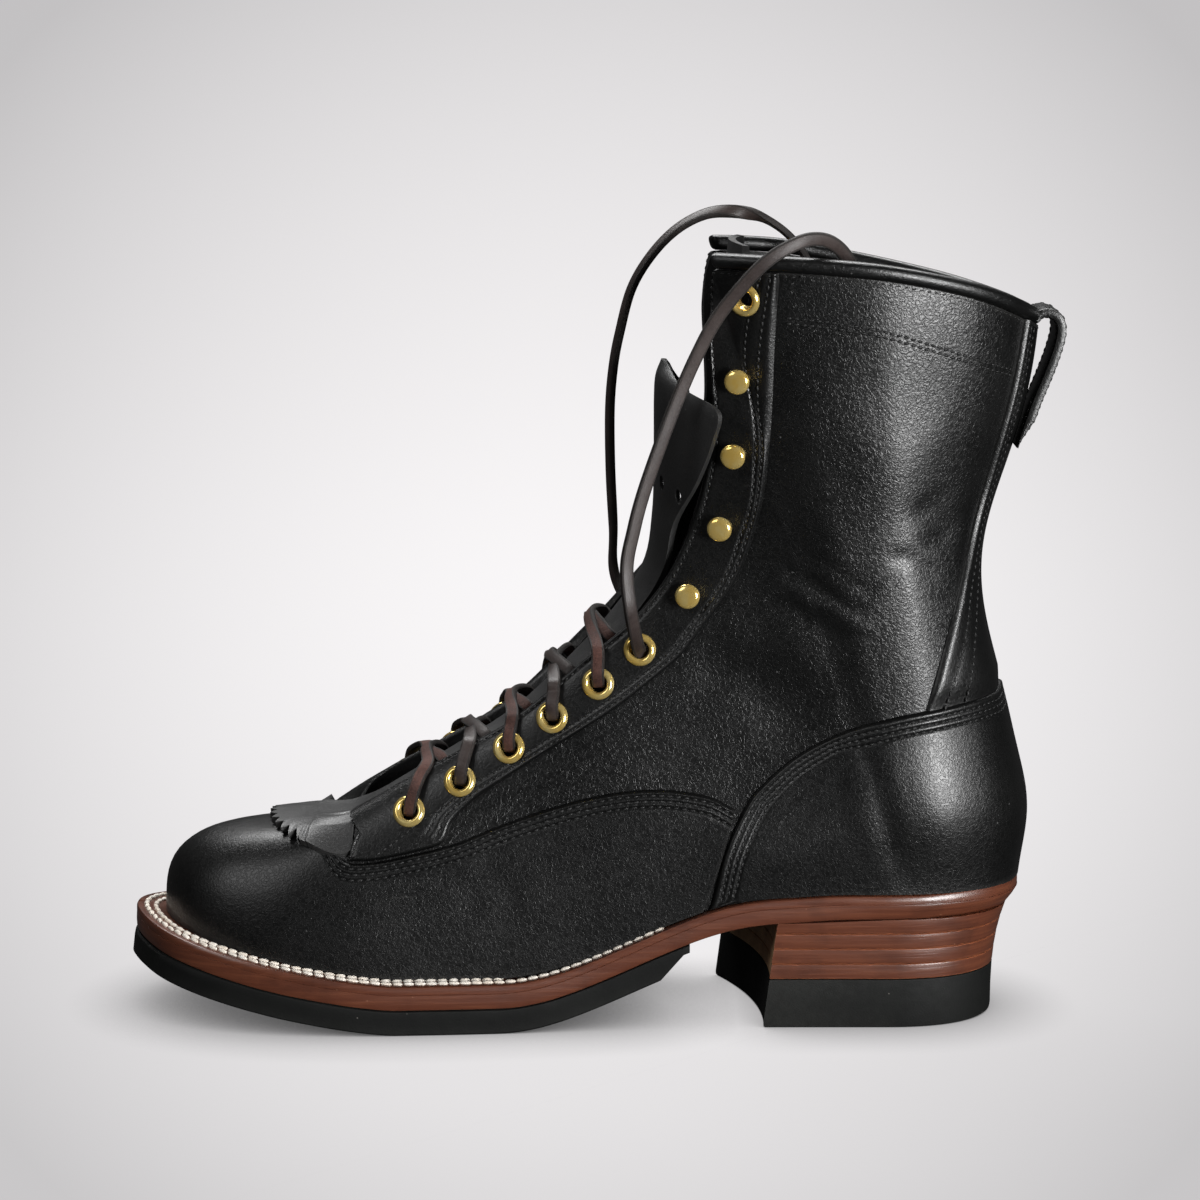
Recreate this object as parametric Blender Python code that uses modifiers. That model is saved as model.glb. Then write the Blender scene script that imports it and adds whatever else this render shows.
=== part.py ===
"""A left lace-up work boot: stacked leather heel, welted leather sole, rubber half sole and a tall
upper with eyelets, lace studs, a leather lace and a fringed false tongue.

Sizes are millimetres, turned into metres where a mesh is made. The toe points to -X, the outer
(lateral) side of the boot is -Y, and the origin lies on the floor under the middle of the heel.
"""
import math
from collections import namedtuple
from functools import lru_cache

import bmesh
import bpy
import numpy as np
from mathutils import Vector
from mathutils.bvhtree import BVHTree

MM = 0.001

# Clearances between neighbouring pieces
GAP = 0.3
FEATHER_GAP = 0.6

# Sole: lengths along X and thicknesses along Z
TOE_X = -261.0
FLAT_FRONT = -168.0
FLAT_REAR = -132.0
ARCH_REAR = -36.0
HALF_SOLE = 9.0
HALF_SOLE_REAR = -66.0
HALF_SOLE_BEVEL = 10.0
HALF_SOLE_FEATHER = 1.5
MIDSOLE = 5.5
WELT = 3.0
WELT_UNDER_UPPER = 9.0
TOE_SPRING = 18.5
SPRING_POWER = 1.35
HEEL_HEIGHT = 37.5
INSOLE = 2.5
SOLE_TOP = MIDSOLE + WELT

# Heel block: a rubber lift under four leather lifts, undershot at the back
RUBBER_LIFT = 17.5
LEATHER_LIFTS = 4
HEEL_BACK_FLOOR = 41.5
HEEL_BACK_SEAT = 50.5
HEEL_SIDE_FLOOR = 33.0
HEEL_SIDE_SEAT = 36.0
HEEL_BACK_POINTS = 15
BREAST_POINTS = 7
HEEL_ROUND_FROM = 2.0
HEEL_ROUND_POWER = 2.3
UNDERSHOT_POWER = 3.0
BREAST_LATERAL = -35.5
BREAST_MEDIAL = -47.0
BREAST_RAKE = 5.0
BREAST_HOLLOW = 4.5

# Upper: wall and overlay thickness, and the two swells of its ribs
WALL = 2.4
OVERLAY = 1.7
OVERLAY_LIFT = 0.4
OVERLAY_TOP = OVERLAY_LIFT + OVERLAY
COUNTER_SWELL_AT = 0.125
COUNTER_SWELL_WIDTH = 0.10
ANKLE_HOLLOW_AT = 0.57
ANKLE_HOLLOW_WIDTH = 0.25
RIB_STEPS = 40
SHELL_LEVELS = 8
# How far the cutters of the overlays and lace holes reach, and the throat's middle strip in Y
CUT_REACH = 150.0
HOLE_REACH = 8.0
THROAT_LATERAL = 0.0
THROAT_MEDIAL = 7.0

# Collar binding, pull loop and tongue
BINDING_HEIGHT = 5.6
BINDING_WIDTH = 5.8
BINDING_SIDES = 8
LOOP_WIDTH = 21.0
LOOP_THICK = 3.4
TONGUE_THICK = 2.5
KILTIE_THICK = 2.2
KILTIE_TEETH = 20

# Lace, eyelets and studs
LACE_WIDTH = 5.0
LACE_THICK = 2.4
LACE_RISE = 2.0
LACE_START_INSET = 3.5
LACE_STOP = 0.64
LACE_OVER = 1.4
LACE_UNDER = 0.5
LACE_CLEAR = 1.0
LACE_END_DIAMETER = 4.6
LACE_END_RISE = 0.75
LACE_END_POINTS = 20
LAST_LACED = 6
EYELET_BARREL = 3.7
EYELET_HEIGHT = 1.5
HARDWARE_SIDES = 8
HARDWARE_LIFT = OVERLAY_TOP + 0.2
# Turned profiles of an eyelet (a ring) and of a stud, as heights over the facing
Turn = namedtuple("Turn", "radius height")
EYELET = [Turn(3.0, -2.0), Turn(3.6, EYELET_HEIGHT), Turn(5.5, GAP), Turn(EYELET_BARREL, GAP),
          Turn(EYELET_BARREL, -2.0)]
STUD = [Turn(3.3, GAP), Turn(3.3, 0.9), Turn(2.3, 1.2), Turn(2.3, 3.0), Turn(4.2, 3.6), Turn(4.2, 4.4),
        Turn(2.5, 5.6)]

# Each rib of the upper runs from the feather line at the welt up to the edge of throat or collar.
# fullness bows the rib (1 straight, 2 round, more is boxy), swell and hollow push it out at counter
# height and at the ankle, and welt is how far the welt stands out beyond the upper there.
Rib = namedtuple("Rib", "place foot_x foot_y welt top_x top_y top_z fullness swell hollow")
TOE_TIP = Rib("toe_tip", -249.0, 4.0, 12.5, -184.0, 3.5, 65.4, 3.4, 0.0, 0.0)
HEEL_BACK = Rib("heel_back", 48.0, 0.0, 2.5, 52.5, 0.0, 241.5, 1.0, 3.5, -17.0)
LATERAL = [
    Rib("toe_round", -242.0, -14.0, 12.0, -183.0, -4.0, 65.8, 2.9, 0.0, 0.0),
    Rib("toe_corner", -227.0, -26.0, 11.0, -181.0, -9.5, 67.5, 2.2, 0.0, 0.0),
    Rib("toe_side", -205.0, -32.5, 10.5, -176.0, -13.0, 74.0, 1.8, 0.0, 0.0),
    Rib("ball_front", -180.0, -34.0, 10.0, -166.5, -15.0, 81.0, 1.75, 0.0, 0.0),
    Rib("ball", -152.0, -33.0, 9.5, -147.5, -16.5, 92.5, 1.7, 0.0, 0.0),
    Rib("waist_front", -122.0, -32.0, 8.0, -126.0, -18.0, 106.5, 1.65, 0.0, 0.0),
    Rib("waist", -95.0, -31.5, 6.0, -104.0, -19.5, 126.0, 1.6, 0.0, 0.0),
    Rib("arch", -68.0, -31.5, 5.0, -84.0, -21.0, 144.0, 1.45, 0.5, 0.0),
    Rib("heel_front", -44.0, -32.0, 4.0, -70.5, -23.0, 164.0, 1.3, 1.5, 0.0),
    Rib("heel", -24.0, -32.5, 3.5, -62.0, -26.0, 190.0, 1.2, 2.0, 0.0),
    Rib("shaft_low", -9.0, -32.8, 3.5, -59.0, -29.0, 215.0, 1.12, 2.5, 0.5),
    Rib("shaft_high", 1.0, -32.8, 3.5, -60.0, -31.5, 245.0, 1.06, 3.0, 1.0),
    Rib("collar_corner", 8.0, -32.4, 3.5, -58.0, -33.5, 263.5, 1.0, 3.0, 1.5),
    Rib("collar_front", 15.0, -31.5, 3.5, -37.0, -42.5, 263.0, 1.0, 3.5, 0.0),
    Rib("collar_mid", 23.0, -29.5, 3.2, -8.0, -45.5, 261.0, 1.0, 4.0, -2.0),
    Rib("collar_rear", 37.0, -22.5, 3.0, 28.5, -36.5, 253.5, 1.0, 3.5, -9.0),
    Rib("heel_corner", 45.0, -12.5, 2.7, 47.0, -19.5, 245.5, 1.0, 3.5, -15.0),
]
MEDIAL = [
    Rib("toe_round", -242.0, 21.0, 12.0, -183.0, 10.5, 65.0, 2.6, 0.0, 0.0),
    Rib("toe_corner", -227.0, 37.0, 11.0, -182.0, 17.0, 65.5, 1.75, 0.0, 0.0),
    Rib("toe_side", -206.0, 48.5, 10.5, -178.0, 20.5, 72.5, 1.6, 0.0, 0.0),
    Rib("ball_front", -184.0, 54.0, 10.0, -168.5, 22.0, 79.5, 1.65, 0.0, 0.0),
    Rib("ball", -158.0, 54.5, 9.5, -150.0, 22.0, 90.0, 1.7, 0.0, 0.0),
    Rib("waist_front", -128.0, 46.5, 8.0, -127.0, 21.5, 105.0, 1.65, 0.0, 0.0),
    Rib("waist", -99.0, 38.0, 6.0, -105.0, 21.0, 127.5, 1.6, 0.0, 0.0),
    Rib("arch", -70.0, 33.0, 5.0, -88.0, 21.5, 147.0, 1.45, 0.5, 0.0),
    Rib("heel_front", -45.0, 32.0, 4.0, -73.5, 23.0, 166.0, 1.3, 1.5, 0.0),
    Rib("heel", -24.0, 32.5, 3.5, -64.0, 26.0, 191.0, 1.2, 2.0, 0.0),
    Rib("shaft_low", -9.0, 32.8, 3.5, -60.0, 29.0, 216.0, 1.12, 2.5, 0.5),
    Rib("shaft_high", 1.0, 32.8, 3.5, -61.0, 31.5, 245.0, 1.06, 3.0, 1.0),
    Rib("collar_corner", 8.0, 32.4, 3.5, -57.0, 33.5, 264.0, 1.0, 3.0, 1.5),
    Rib("collar_front", 15.0, 31.5, 3.5, -36.0, 42.5, 262.5, 1.0, 3.5, 0.0),
    Rib("collar_mid", 23.0, 29.5, 3.2, -8.0, 45.5, 257.5, 1.0, 4.0, -2.0),
    Rib("collar_rear", 37.0, 22.5, 3.0, 28.5, 36.5, 249.5, 1.0, 3.5, -9.0),
    Rib("heel_corner", 45.0, 12.5, 2.7, 47.0, 19.5, 243.8, 1.0, 3.5, -15.0),
]
RIBS = [TOE_TIP] + LATERAL + [HEEL_BACK] + MEDIAL[::-1]
RIB_COUNT = len(RIBS)
BACK_RIB = len(LATERAL) + 1
COLLAR_RIB = 13
COLUMNS = {name: np.array([getattr(rib, name) for rib in RIBS]) for name in Rib._fields[1:]}
# Ribs that get a halfway neighbour in the mesh, where the boot turns fastest
ROUND_RIBS = [0, 1, 2, 8, 9, 13, 14, 15, 16, 17]

# Seams of the overlays in side view, as (x, z) places of their edges
VAMP_FRONT = [(-275, 130), (-189, 130), (-189, 66), (-187, 59.5)]
VAMP_WING = [(-183, 57), (-167, 59.5), (-147, 64.5), (-131, 71), (-111, 78), (-93, 82.5), (-76, 84),
             (-60, 82), (-50.5, 77.5)]
COUNTER_FRONT = [(-61, 36), (-58, 46), (-54, 62), (-47.5, 77)]
COUNTER_TOP = [(-42, 85), (-28.5, 97), (-11.5, 106), (5.5, 111), (27, 114.5), (70, 119)]
EYESTAY_REAR = [(-151, 64.5), (-147.5, 72.5), (-139.5, 80), (-127, 88.5), (-113.5, 97.5), (-100, 106),
                (-88.5, 114), (-77.5, 123), (-68.5, 131), (-61.5, 140.5), (-50, 158), (-42.5, 182),
                (-39.5, 208), (-38.5, 240), (-37, 290)]
EYESTAY_FRONT = [(-120, 290), (-120, 160), (-171, 92), (-177.2, 74.5), (-181, 66), (-184.5, 58.5)]
SEAM_GAP = 0.5
# Half width of the backstay at each height
BACKSTAY = [(280, 10.0), (200, 11.0), (170, 16.0), (140, 23.0), (100, 31.0)]

# Lace hardware in side view on the lateral side, from the toe up
EYELET_SPOTS = [(-162.6, 74.7), (-145, 85.3), (-128, 97), (-113, 108), (-97.3, 120), (-83, 132), (-48, 254)]
STUD_SPOTS = [(-66, 151.5), (-55, 175.6), (-50.5, 201), (-49.7, 226.5)]
CROSSINGS = 5

# Sections of the tongue and of the false tongue above its fringe: the crest of each section, its half
# width, how far its edges fall back behind the crest, and how much further the lateral edge does
Section = namedtuple("Section", "x y z half bow turn", defaults=[0])
TONGUE = [
    Section(-190, 3.6, 62.2, 8, 1), Section(-181.5, 3.6, 62.6, 8, 1),
    Section(-172, 3.6, 69.0, 10, 2), Section(-160, 3.2, 77.5, 13.5, 4), Section(-143, 2.6, 88.5, 15, 5),
    Section(-123, 1.8, 102.0, 15.5, 6), Section(-101, 0.8, 120.5, 16, 6), Section(-83, 0.3, 139.5, 17, 6),
    Section(-70, 0, 161.0, 18.5, 6), Section(-61, 0, 188.0, 21, 6), Section(-57, 0, 215.0, 24, 6),
    Section(-56, 0, 245.0, 26.5, 6), Section(-54, 0, 262.0, 27, 5), Section(-53, 0, 271.0, 23, 4),
]
KILTIE = [
    Section(-176, 3.7, 75.0, 12, 1.5), Section(-167.5, 3.5, 80.2, 13.5, 2.5),
    Section(-148.5, 2.7, 92.0, 15, 3), Section(-126.5, 1.8, 106.6, 16, 3.5),
    Section(-105.5, 0.8, 127.0, 17, 4), Section(-90, 0.3, 145.0, 17.5, 5), Section(-81.5, 0, 160, 18.5, 6),
    Section(-79, -0.5, 176, 20.5, 7), Section(-78.5, -3.5, 190, 27, 9.5, 4),
    Section(-78.5, -5.5, 205, 31.5, 11, 8), Section(-78.5, -6, 217, 33.5, 11, 9.5),
    Section(-78, -5, 224.5, 21, 7, 2), Section(-76, -4, 230, 7, 2),
]
# Fringe of the false tongue in plan: a fan round its root, with teeth along its rim as far as the
# lateral side, where the edge is cut plain
FAN_ROOT = (-192.0, 3.5)
FAN_LONG = 21.5
FAN_WIDE = 32.0
FAN_TURN_LATERAL = 104.0
FAN_TURN_MEDIAL = 84.0
FAN_RINGS = [1.0, 0.84, 0.5]
FAN_BASE_X = -185.5
FAN_BASE_HALF = 12.5
FAN_CLEAR = 0.45
FAN_STEEPEST = 0.5
TOOTH = 0.06
LAST_TOOTH = -0.62

# Middle line of the pull loop in side view
PULL_LOOP = [(47.7, 199.5), (49.1, 204), (51.3, 211), (53.2, 216.5), (56.2, 224), (58.9, 231.5),
             (60.6, 238), (60.6, 242.3), (59.0, 245.3), (55.7, 246.4)]

# Free ends of the lace, out of the last laced eyelets, up in an arch and into the collar
LATERAL_END = [(-86.5, -40, 147.5), (-88, -40, 163), (-85.7, -40, 176), (-82.3, -40, 189),
               (-76.1, -40, 207), (-70, -40, 223), (-64.6, -41, 235.5), (-58.4, -43, 247.5),
               (-50.2, -46, 258.5), (-41.7, -48, 267.5), (-33.4, -47, 272.5), (-26.8, -44, 274.3),
               (-20.5, -39.5, 273), (-15, -34.5, 268), (-11.5, -31, 260), (-10, -29.5, 251)]
MEDIAL_END = [(-92, 37.5, 149), (-92.3, 34, 165.5), (-93.3, 31, 187), (-93.5, 28, 208.5),
              (-92.3, 26, 224), (-90, 24.5, 236.5), (-86, 23.5, 251.5), (-79.3, 23, 263),
              (-70.7, 23, 272), (-60.9, 23.5, 277.4), (-51.6, 24.5, 278.5), (-41.9, 26, 276.8),
              (-33.6, 28, 272.2), (-27, 30, 265.5), (-23, 31.5, 258), (-21, 32, 251)]

LEATHER_BLACK = ((0.012, 0.012, 0.013), 0.42, 0.0)
LEATHER_BROWN = ((0.14, 0.035, 0.016), 0.45, 0.0)
LEATHER_TAN = ((0.36, 0.2, 0.11), 0.7, 0.0)
RUBBER_BLACK = ((0.014, 0.015, 0.014), 0.7, 0.0)
BRASS = ((0.78, 0.5, 0.16), 0.25, 1.0)
LACE_BROWN = ((0.05, 0.022, 0.016), 0.6, 0.0)


# Outline of the sole and the surface of the upper

def between_ribs(column, u):
    """Value of a rib column at a fractional rib number, with no overshoot between the ribs."""
    values = COLUMNS[column]
    low = math.floor(u)
    part = u - low
    before, start, end, after = (values[(low + k) % RIB_COUNT] for k in (-1, 0, 1, 2))
    step = end - start

    def slope(left, right):
        return 2 * left * right / (left + right) if left * right > 0 else 0.0

    slope_start = slope(start - before, step)
    slope_end = slope(step, after - end)
    p2 = part * part
    p3 = p2 * part
    return (start * (2 * p3 - 3 * p2 + 1) + slope_start * (p3 - 2 * p2 + part)
            + end * (3 * p2 - 2 * p3) + slope_end * (p3 - p2))


def spaced(start, end, count, power=1.0):
    """Places from start to end, closer together near start where power is over 1."""
    return [start + (end - start) * (k / count) ** power for k in range(count)]


STATIONS = (spaced(TOE_X, FLAT_FRONT, 9, 1.7) + spaced(FLAT_FRONT, FLAT_REAR, 2)
            + spaced(FLAT_REAR, HALF_SOLE_REAR, 6) + spaced(HALF_SOLE_REAR, ARCH_REAR, 3)
            + spaced(ARCH_REAR, 16.0, 2) + spaced(HEEL_BACK_SEAT, 16.0, 6, 1.8)[::-1])


def sole_curve(x):
    """Height of the midsole's underside: toe spring, flat ball, rising arch and level heel."""
    if x < FLAT_FRONT:
        spring = min((FLAT_FRONT - x) / (FLAT_FRONT - TOE_X), 1.0)
        return HALF_SOLE + TOE_SPRING * spring ** SPRING_POWER
    rise = min(max((x - FLAT_REAR) / (ARCH_REAR - FLAT_REAR), 0.0), 1.0)
    return HALF_SOLE + (HEEL_HEIGHT - HALF_SOLE) * rise * rise * (3 - 2 * rise)


def sole_height(x):
    """The sole curve as straight lengths between the stations, which all layers share."""
    return float(np.interp(x, STATIONS, [sole_curve(station) for station in STATIONS]))


@lru_cache(maxsize=None)
def outward(u):
    """Unit direction out of the boot in plan, square to the feather line."""
    step = 0.05
    run_x = between_ribs("foot_x", u + step) - between_ribs("foot_x", u - step)
    run_y = between_ribs("foot_y", u + step) - between_ribs("foot_y", u - step)
    length = math.hypot(run_x, run_y)
    return run_y / length, -run_x / length


@lru_cache(maxsize=None)
def rib_line(u):
    """Points of one rib from the feather line to its top, and their share of its length."""
    foot_x, foot_y, top_x, top_y, top_z, fullness, swell, hollow = (
        between_ribs(name, u) for name in
        ("foot_x", "foot_y", "top_x", "top_y", "top_z", "fullness", "swell", "hollow"))
    angle = np.linspace(0, math.pi / 2, RIB_STEPS + 1)
    across = 1 - np.maximum(np.cos(angle), 0) ** (2 / fullness)
    rise = np.sin(angle) ** (2 / fullness)
    push = (swell * np.exp(-((rise - COUNTER_SWELL_AT) / COUNTER_SWELL_WIDTH) ** 2)
            + hollow * np.exp(-((rise - ANKLE_HOLLOW_AT) / ANKLE_HOLLOW_WIDTH) ** 2))
    foot_z = sole_height(foot_x) + SOLE_TOP + FEATHER_GAP
    out_x, out_y = outward(u)
    points = np.stack([foot_x + (top_x - foot_x) * across + push * out_x,
                       foot_y + (top_y - foot_y) * across + push * out_y,
                       foot_z + (top_z - foot_z) * rise], axis=1)
    lengths = np.concatenate([[0], np.cumsum(np.linalg.norm(np.diff(points, axis=0), axis=1))])
    return points, lengths / lengths[-1], lengths[-1]


def on_upper(u, v):
    """Point of the upper's outer face at rib u, a share v of the way up."""
    points, share, _ = rib_line(round(u % RIB_COUNT, 6))
    return np.array([np.interp(v, share, points[:, axis]) for axis in range(3)])


def off_upper(u, v):
    """Unit normal of the upper's outer face."""
    step_u, step_v = 0.04, 0.02
    along = on_upper(u + step_u, v) - on_upper(u - step_u, v)
    up = on_upper(u, min(v + step_v, 1.0)) - on_upper(u, max(v - step_v, 0.0))
    normal = np.cross(along, up)
    return normal / np.linalg.norm(normal)


def above_upper(u, v, lift):
    return on_upper(u, v) + off_upper(u, v) * lift


def find_on_side(x, z):
    """Rib number and share of the lateral face's point that shows at (x, z) in side view."""
    spans = [(2.5, 14.5), (0.3, 1.0)]
    rounds, steps = 5, 25
    best = None
    for _ in range(rounds):
        trials = [(u, v) for u in np.linspace(*spans[0], steps) for v in np.linspace(*spans[1], steps)]
        best = min(trials, key=lambda uv: np.hypot(*(on_upper(*uv)[[0, 2]] - (x, z))))
        reach_u, reach_v = (2 * (high - low) / steps for low, high in spans)
        spans = [(best[0] - reach_u, best[0] + reach_u), (best[1] - reach_v, min(best[1] + reach_v, 1.0))]
    return best


def outline_half(out, first, last):
    """x and y of the feather line moved outward, from rib first to rib last."""
    steps = 181
    ribs = np.linspace(first, last, steps)
    xs = [between_ribs("foot_x", u) + outward(u)[0] * out(u) for u in ribs]
    ys = [between_ribs("foot_y", u) + outward(u)[1] * out(u) for u in ribs]
    return np.array(xs), np.array(ys)


def outline_width(out):
    """Function of x that gives the lateral and the medial y of an outline."""
    lateral_x, lateral_y = outline_half(out, 0, BACK_RIB)
    medial_x, medial_y = outline_half(out, RIB_COUNT, BACK_RIB)

    def width(x):
        return (float(np.interp(x, np.maximum.accumulate(lateral_x), lateral_y)),
                float(np.interp(x, np.maximum.accumulate(medial_x), medial_y)))

    return width, max(lateral_x[0], lateral_x.min()), lateral_x.max()


# Helpers that make objects

def clear_scene():
    for item in list(bpy.data.objects):
        bpy.data.objects.remove(item, do_unlink=True)


def make_collection(name):
    collection = bpy.data.collections.new(name)
    bpy.context.scene.collection.children.link(collection)
    return collection


def make_material(name, look):
    colour, roughness, metallic = look
    material = bpy.data.materials.new(name)
    material.use_nodes = True
    shader = material.node_tree.nodes["Principled BSDF"]
    shader.inputs["Base Color"].default_value = (*colour, 1.0)
    shader.inputs["Roughness"].default_value = roughness
    shader.inputs["Metallic"].default_value = metallic
    return material


def add_mesh(name, bm, look, collection, smooth=True):
    mesh = bpy.data.meshes.new(name)
    bm.to_mesh(mesh)
    bm.free()
    if smooth:
        mesh.shade_smooth()
        mesh.set_sharp_from_angle(angle=math.radians(40))
    item = bpy.data.objects.new(name, mesh)
    item.data.materials.append(make_material(name, look))
    collection.objects.link(item)
    return item


def add_cutter(name, bm, collection):
    mesh = bpy.data.meshes.new(name)
    bm.to_mesh(mesh)
    bm.free()
    item = bpy.data.objects.new(name, mesh)
    item.hide_render = True
    item.display_type = "WIRE"
    collection.objects.link(item)
    return item


def loft(sections, ring=False):
    """Closed solid through sections of equal point count: capped at both ends, or joined in a ring."""
    bm = bmesh.new()
    rows = [[bm.verts.new(Vector(point) * MM) for point in section] for section in sections]
    bands = list(zip(rows, rows[1:] + rows[:1])) if ring else list(zip(rows, rows[1:]))
    count = len(rows[0])
    for low, high in bands:
        for k in range(count):
            after = (k + 1) % count
            bm.faces.new((low[k], low[after], high[after], high[k]))
    if not ring:
        bm.faces.new(rows[0])
        bm.faces.new(rows[-1])
    bmesh.ops.recalc_face_normals(bm, faces=bm.faces)
    return bm


def prism(outline, axis, start, end):
    """Solid that runs an outline of (a, z) points along X or Y, for cutting overlays out of a form."""
    def place(a, z, depth):
        return (depth, a, z) if axis == "X" else (a, depth, z)
    return loft([[place(a, z, depth) for a, z in outline] for depth in (start, end)])


def sheet(grid, ring=False):
    """Open surface of triangles through a grid of points, facing out of the boot."""
    bm = bmesh.new()
    columns = [[bm.verts.new(Vector(point) * MM) for point in column] for column in grid]
    for left, right in zip(columns, columns[1:] + columns[:1] if ring else columns[1:]):
        for k in range(len(left) - 1):
            bm.faces.new((left[k], right[k], right[k + 1]))
            bm.faces.new((left[k], right[k + 1], left[k + 1]))
    return bm


def thicken(item, thickness, inward):
    solidify = item.modifiers.new("thickness", "SOLIDIFY")
    solidify.thickness = thickness * MM
    solidify.offset = -1.0 if inward else 1.0


def cut(item, cutter, operation):
    boolean = item.modifiers.new(cutter.name, "BOOLEAN")
    boolean.operation = operation
    boolean.use_self = operation == "DIFFERENCE"
    boolean.object = cutter


def smooth_path(points, count):
    """Evenly spaced points on a smooth curve through a route's own points."""
    route = np.array(points, float)
    ends = np.vstack([2 * route[0] - route[1], route, 2 * route[-1] - route[-2]])
    fine = []
    steps = 12
    for k in range(len(route) - 1):
        before, start, end, after = ends[k:k + 4]
        for t in np.linspace(0, 1, steps, endpoint=False):
            fine.append(0.5 * (2 * start + (end - before) * t
                               + (2 * before - 5 * start + 4 * end - after) * t ** 2
                               + (3 * start - before - 3 * end + after) * t ** 3))
    fine = np.array(fine + [route[-1]])
    lengths = np.concatenate([[0], np.cumsum(np.linalg.norm(np.diff(fine, axis=0), axis=1))])
    places = np.linspace(0, lengths[-1], count)
    return np.stack([np.interp(places, lengths, fine[:, axis]) for axis in range(3)], axis=1)


# Sole and heel

def slab(low, high, out, rear=None):
    """Sole layer between two heights over the sole curve, within the outline moved outward."""
    width, front, back = outline_width(out)
    first = front + GAP
    last = back - GAP if rear is None else rear
    places = [first] + [x for x in STATIONS if first + GAP < x < last - GAP] + [last]
    sections = []
    for x in places:
        lateral, medial = width(x)
        base = sole_height(x)
        sections.append([(x, lateral, base + low(x)), (x, medial, base + low(x)),
                         (x, medial, base + high(x)), (x, lateral, base + high(x))])
    return loft(sections)


def level(height):
    return lambda x: height


def make_sole(parts, cutters):
    def edge(u):
        return between_ribs("welt", u)

    def half_sole_bottom(x):
        bevel = max(0.0, (x - (HALF_SOLE_REAR - HALF_SOLE_BEVEL)) / HALF_SOLE_BEVEL)
        return -HALF_SOLE + (HALF_SOLE - GAP - HALF_SOLE_FEATHER) * bevel

    add_mesh("outsole", slab(half_sole_bottom, level(-GAP), edge, HALF_SOLE_REAR), RUBBER_BLACK, parts)
    add_mesh("midsole", slab(level(0), level(MIDSOLE), edge), LEATHER_BROWN, parts)
    welt = add_mesh("welt", slab(level(MIDSOLE + GAP), level(SOLE_TOP), lambda u: edge(u) - 0.4),
                    LEATHER_BROWN, parts)
    inside = add_cutter("welt_inside", slab(level(0), level(SOLE_TOP + MIDSOLE),
                                            lambda u: -WELT_UNDER_UPPER), cutters)
    cut(welt, inside, "DIFFERENCE")
    add_mesh("insole", slab(level(SOLE_TOP + GAP), level(SOLE_TOP + GAP + INSOLE),
                            lambda u: -WALL - 1.4), LEATHER_TAN, parts)


def heel_outline(z):
    """Outline of the heel block at a height: round back, and a hollow raked breast."""
    lift = (z / (HEEL_HEIGHT + SOLE_TOP)) ** UNDERSHOT_POWER
    back = HEEL_BACK_FLOOR + (HEEL_BACK_SEAT - HEEL_BACK_FLOOR) * lift
    side = HEEL_SIDE_FLOOR + (HEEL_SIDE_SEAT - HEEL_SIDE_FLOOR) * lift
    points = []
    for angle in np.linspace(-math.pi / 2, math.pi / 2, HEEL_BACK_POINTS):
        reach = abs(math.cos(angle)) ** (2 / HEEL_ROUND_POWER)
        swing = math.copysign(abs(math.sin(angle)) ** (2 / HEEL_ROUND_POWER), angle)
        points.append((HEEL_ROUND_FROM + (back - HEEL_ROUND_FROM) * reach, side * swing, z))
    rake = BREAST_RAKE * (1 - z / HEEL_HEIGHT)
    for share in np.linspace(1, -1, BREAST_POINTS):
        middle = (BREAST_LATERAL + BREAST_MEDIAL) / 2 + (BREAST_MEDIAL - BREAST_LATERAL) / 2 * share
        points.append((middle - rake + BREAST_HOLLOW * (1 - share * share), side * share, z))
    return points


def make_heel(parts, cutters):
    lift = (HEEL_HEIGHT - RUBBER_LIFT) / LEATHER_LIFTS
    arch = add_cutter("arch_over_heel", slab(level(-GAP), level(MIDSOLE), level(HEEL_SIDE_SEAT)), cutters)
    add_mesh("heel_top_lift", loft([heel_outline(0), heel_outline(RUBBER_LIFT / 2),
                                    heel_outline(RUBBER_LIFT - GAP)]), RUBBER_BLACK, parts)
    for k in range(LEATHER_LIFTS):
        base = RUBBER_LIFT + k * lift
        item = add_mesh(f"heel_lift_{k + 1}", loft([heel_outline(base), heel_outline(base + lift - GAP)]),
                        LEATHER_BROWN, parts)
        if k == LEATHER_LIFTS - 1:
            cut(item, arch, "DIFFERENCE")


# Upper and its overlays

def mesh_ribs():
    half = [u for rib in range(BACK_RIB) for u in ([rib, rib + 0.5] if rib in ROUND_RIBS else [rib])]
    return half + [BACK_RIB] + [RIB_COUNT - u for u in half[:0:-1]]


def upper_grid(lift):
    shares = np.linspace(0, 1, SHELL_LEVELS)
    return [[above_upper(u, v, lift) for v in shares] for u in mesh_ribs()]


def overlay(name, outline, axis, span, parts, cutters):
    """Leather overlay: the form just outside the upper, cut to a seam outline."""
    item = add_mesh(name, sheet(upper_grid(OVERLAY_LIFT), ring=True), LEATHER_BLACK, parts)
    thicken(item, OVERLAY, inward=False)
    cut(item, add_cutter(name + "_outline", prism(outline, axis, *span), cutters), "INTERSECT")
    return item


def moved(edge, along, rise):
    return [(x + along, z + rise) for x, z in edge]


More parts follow.
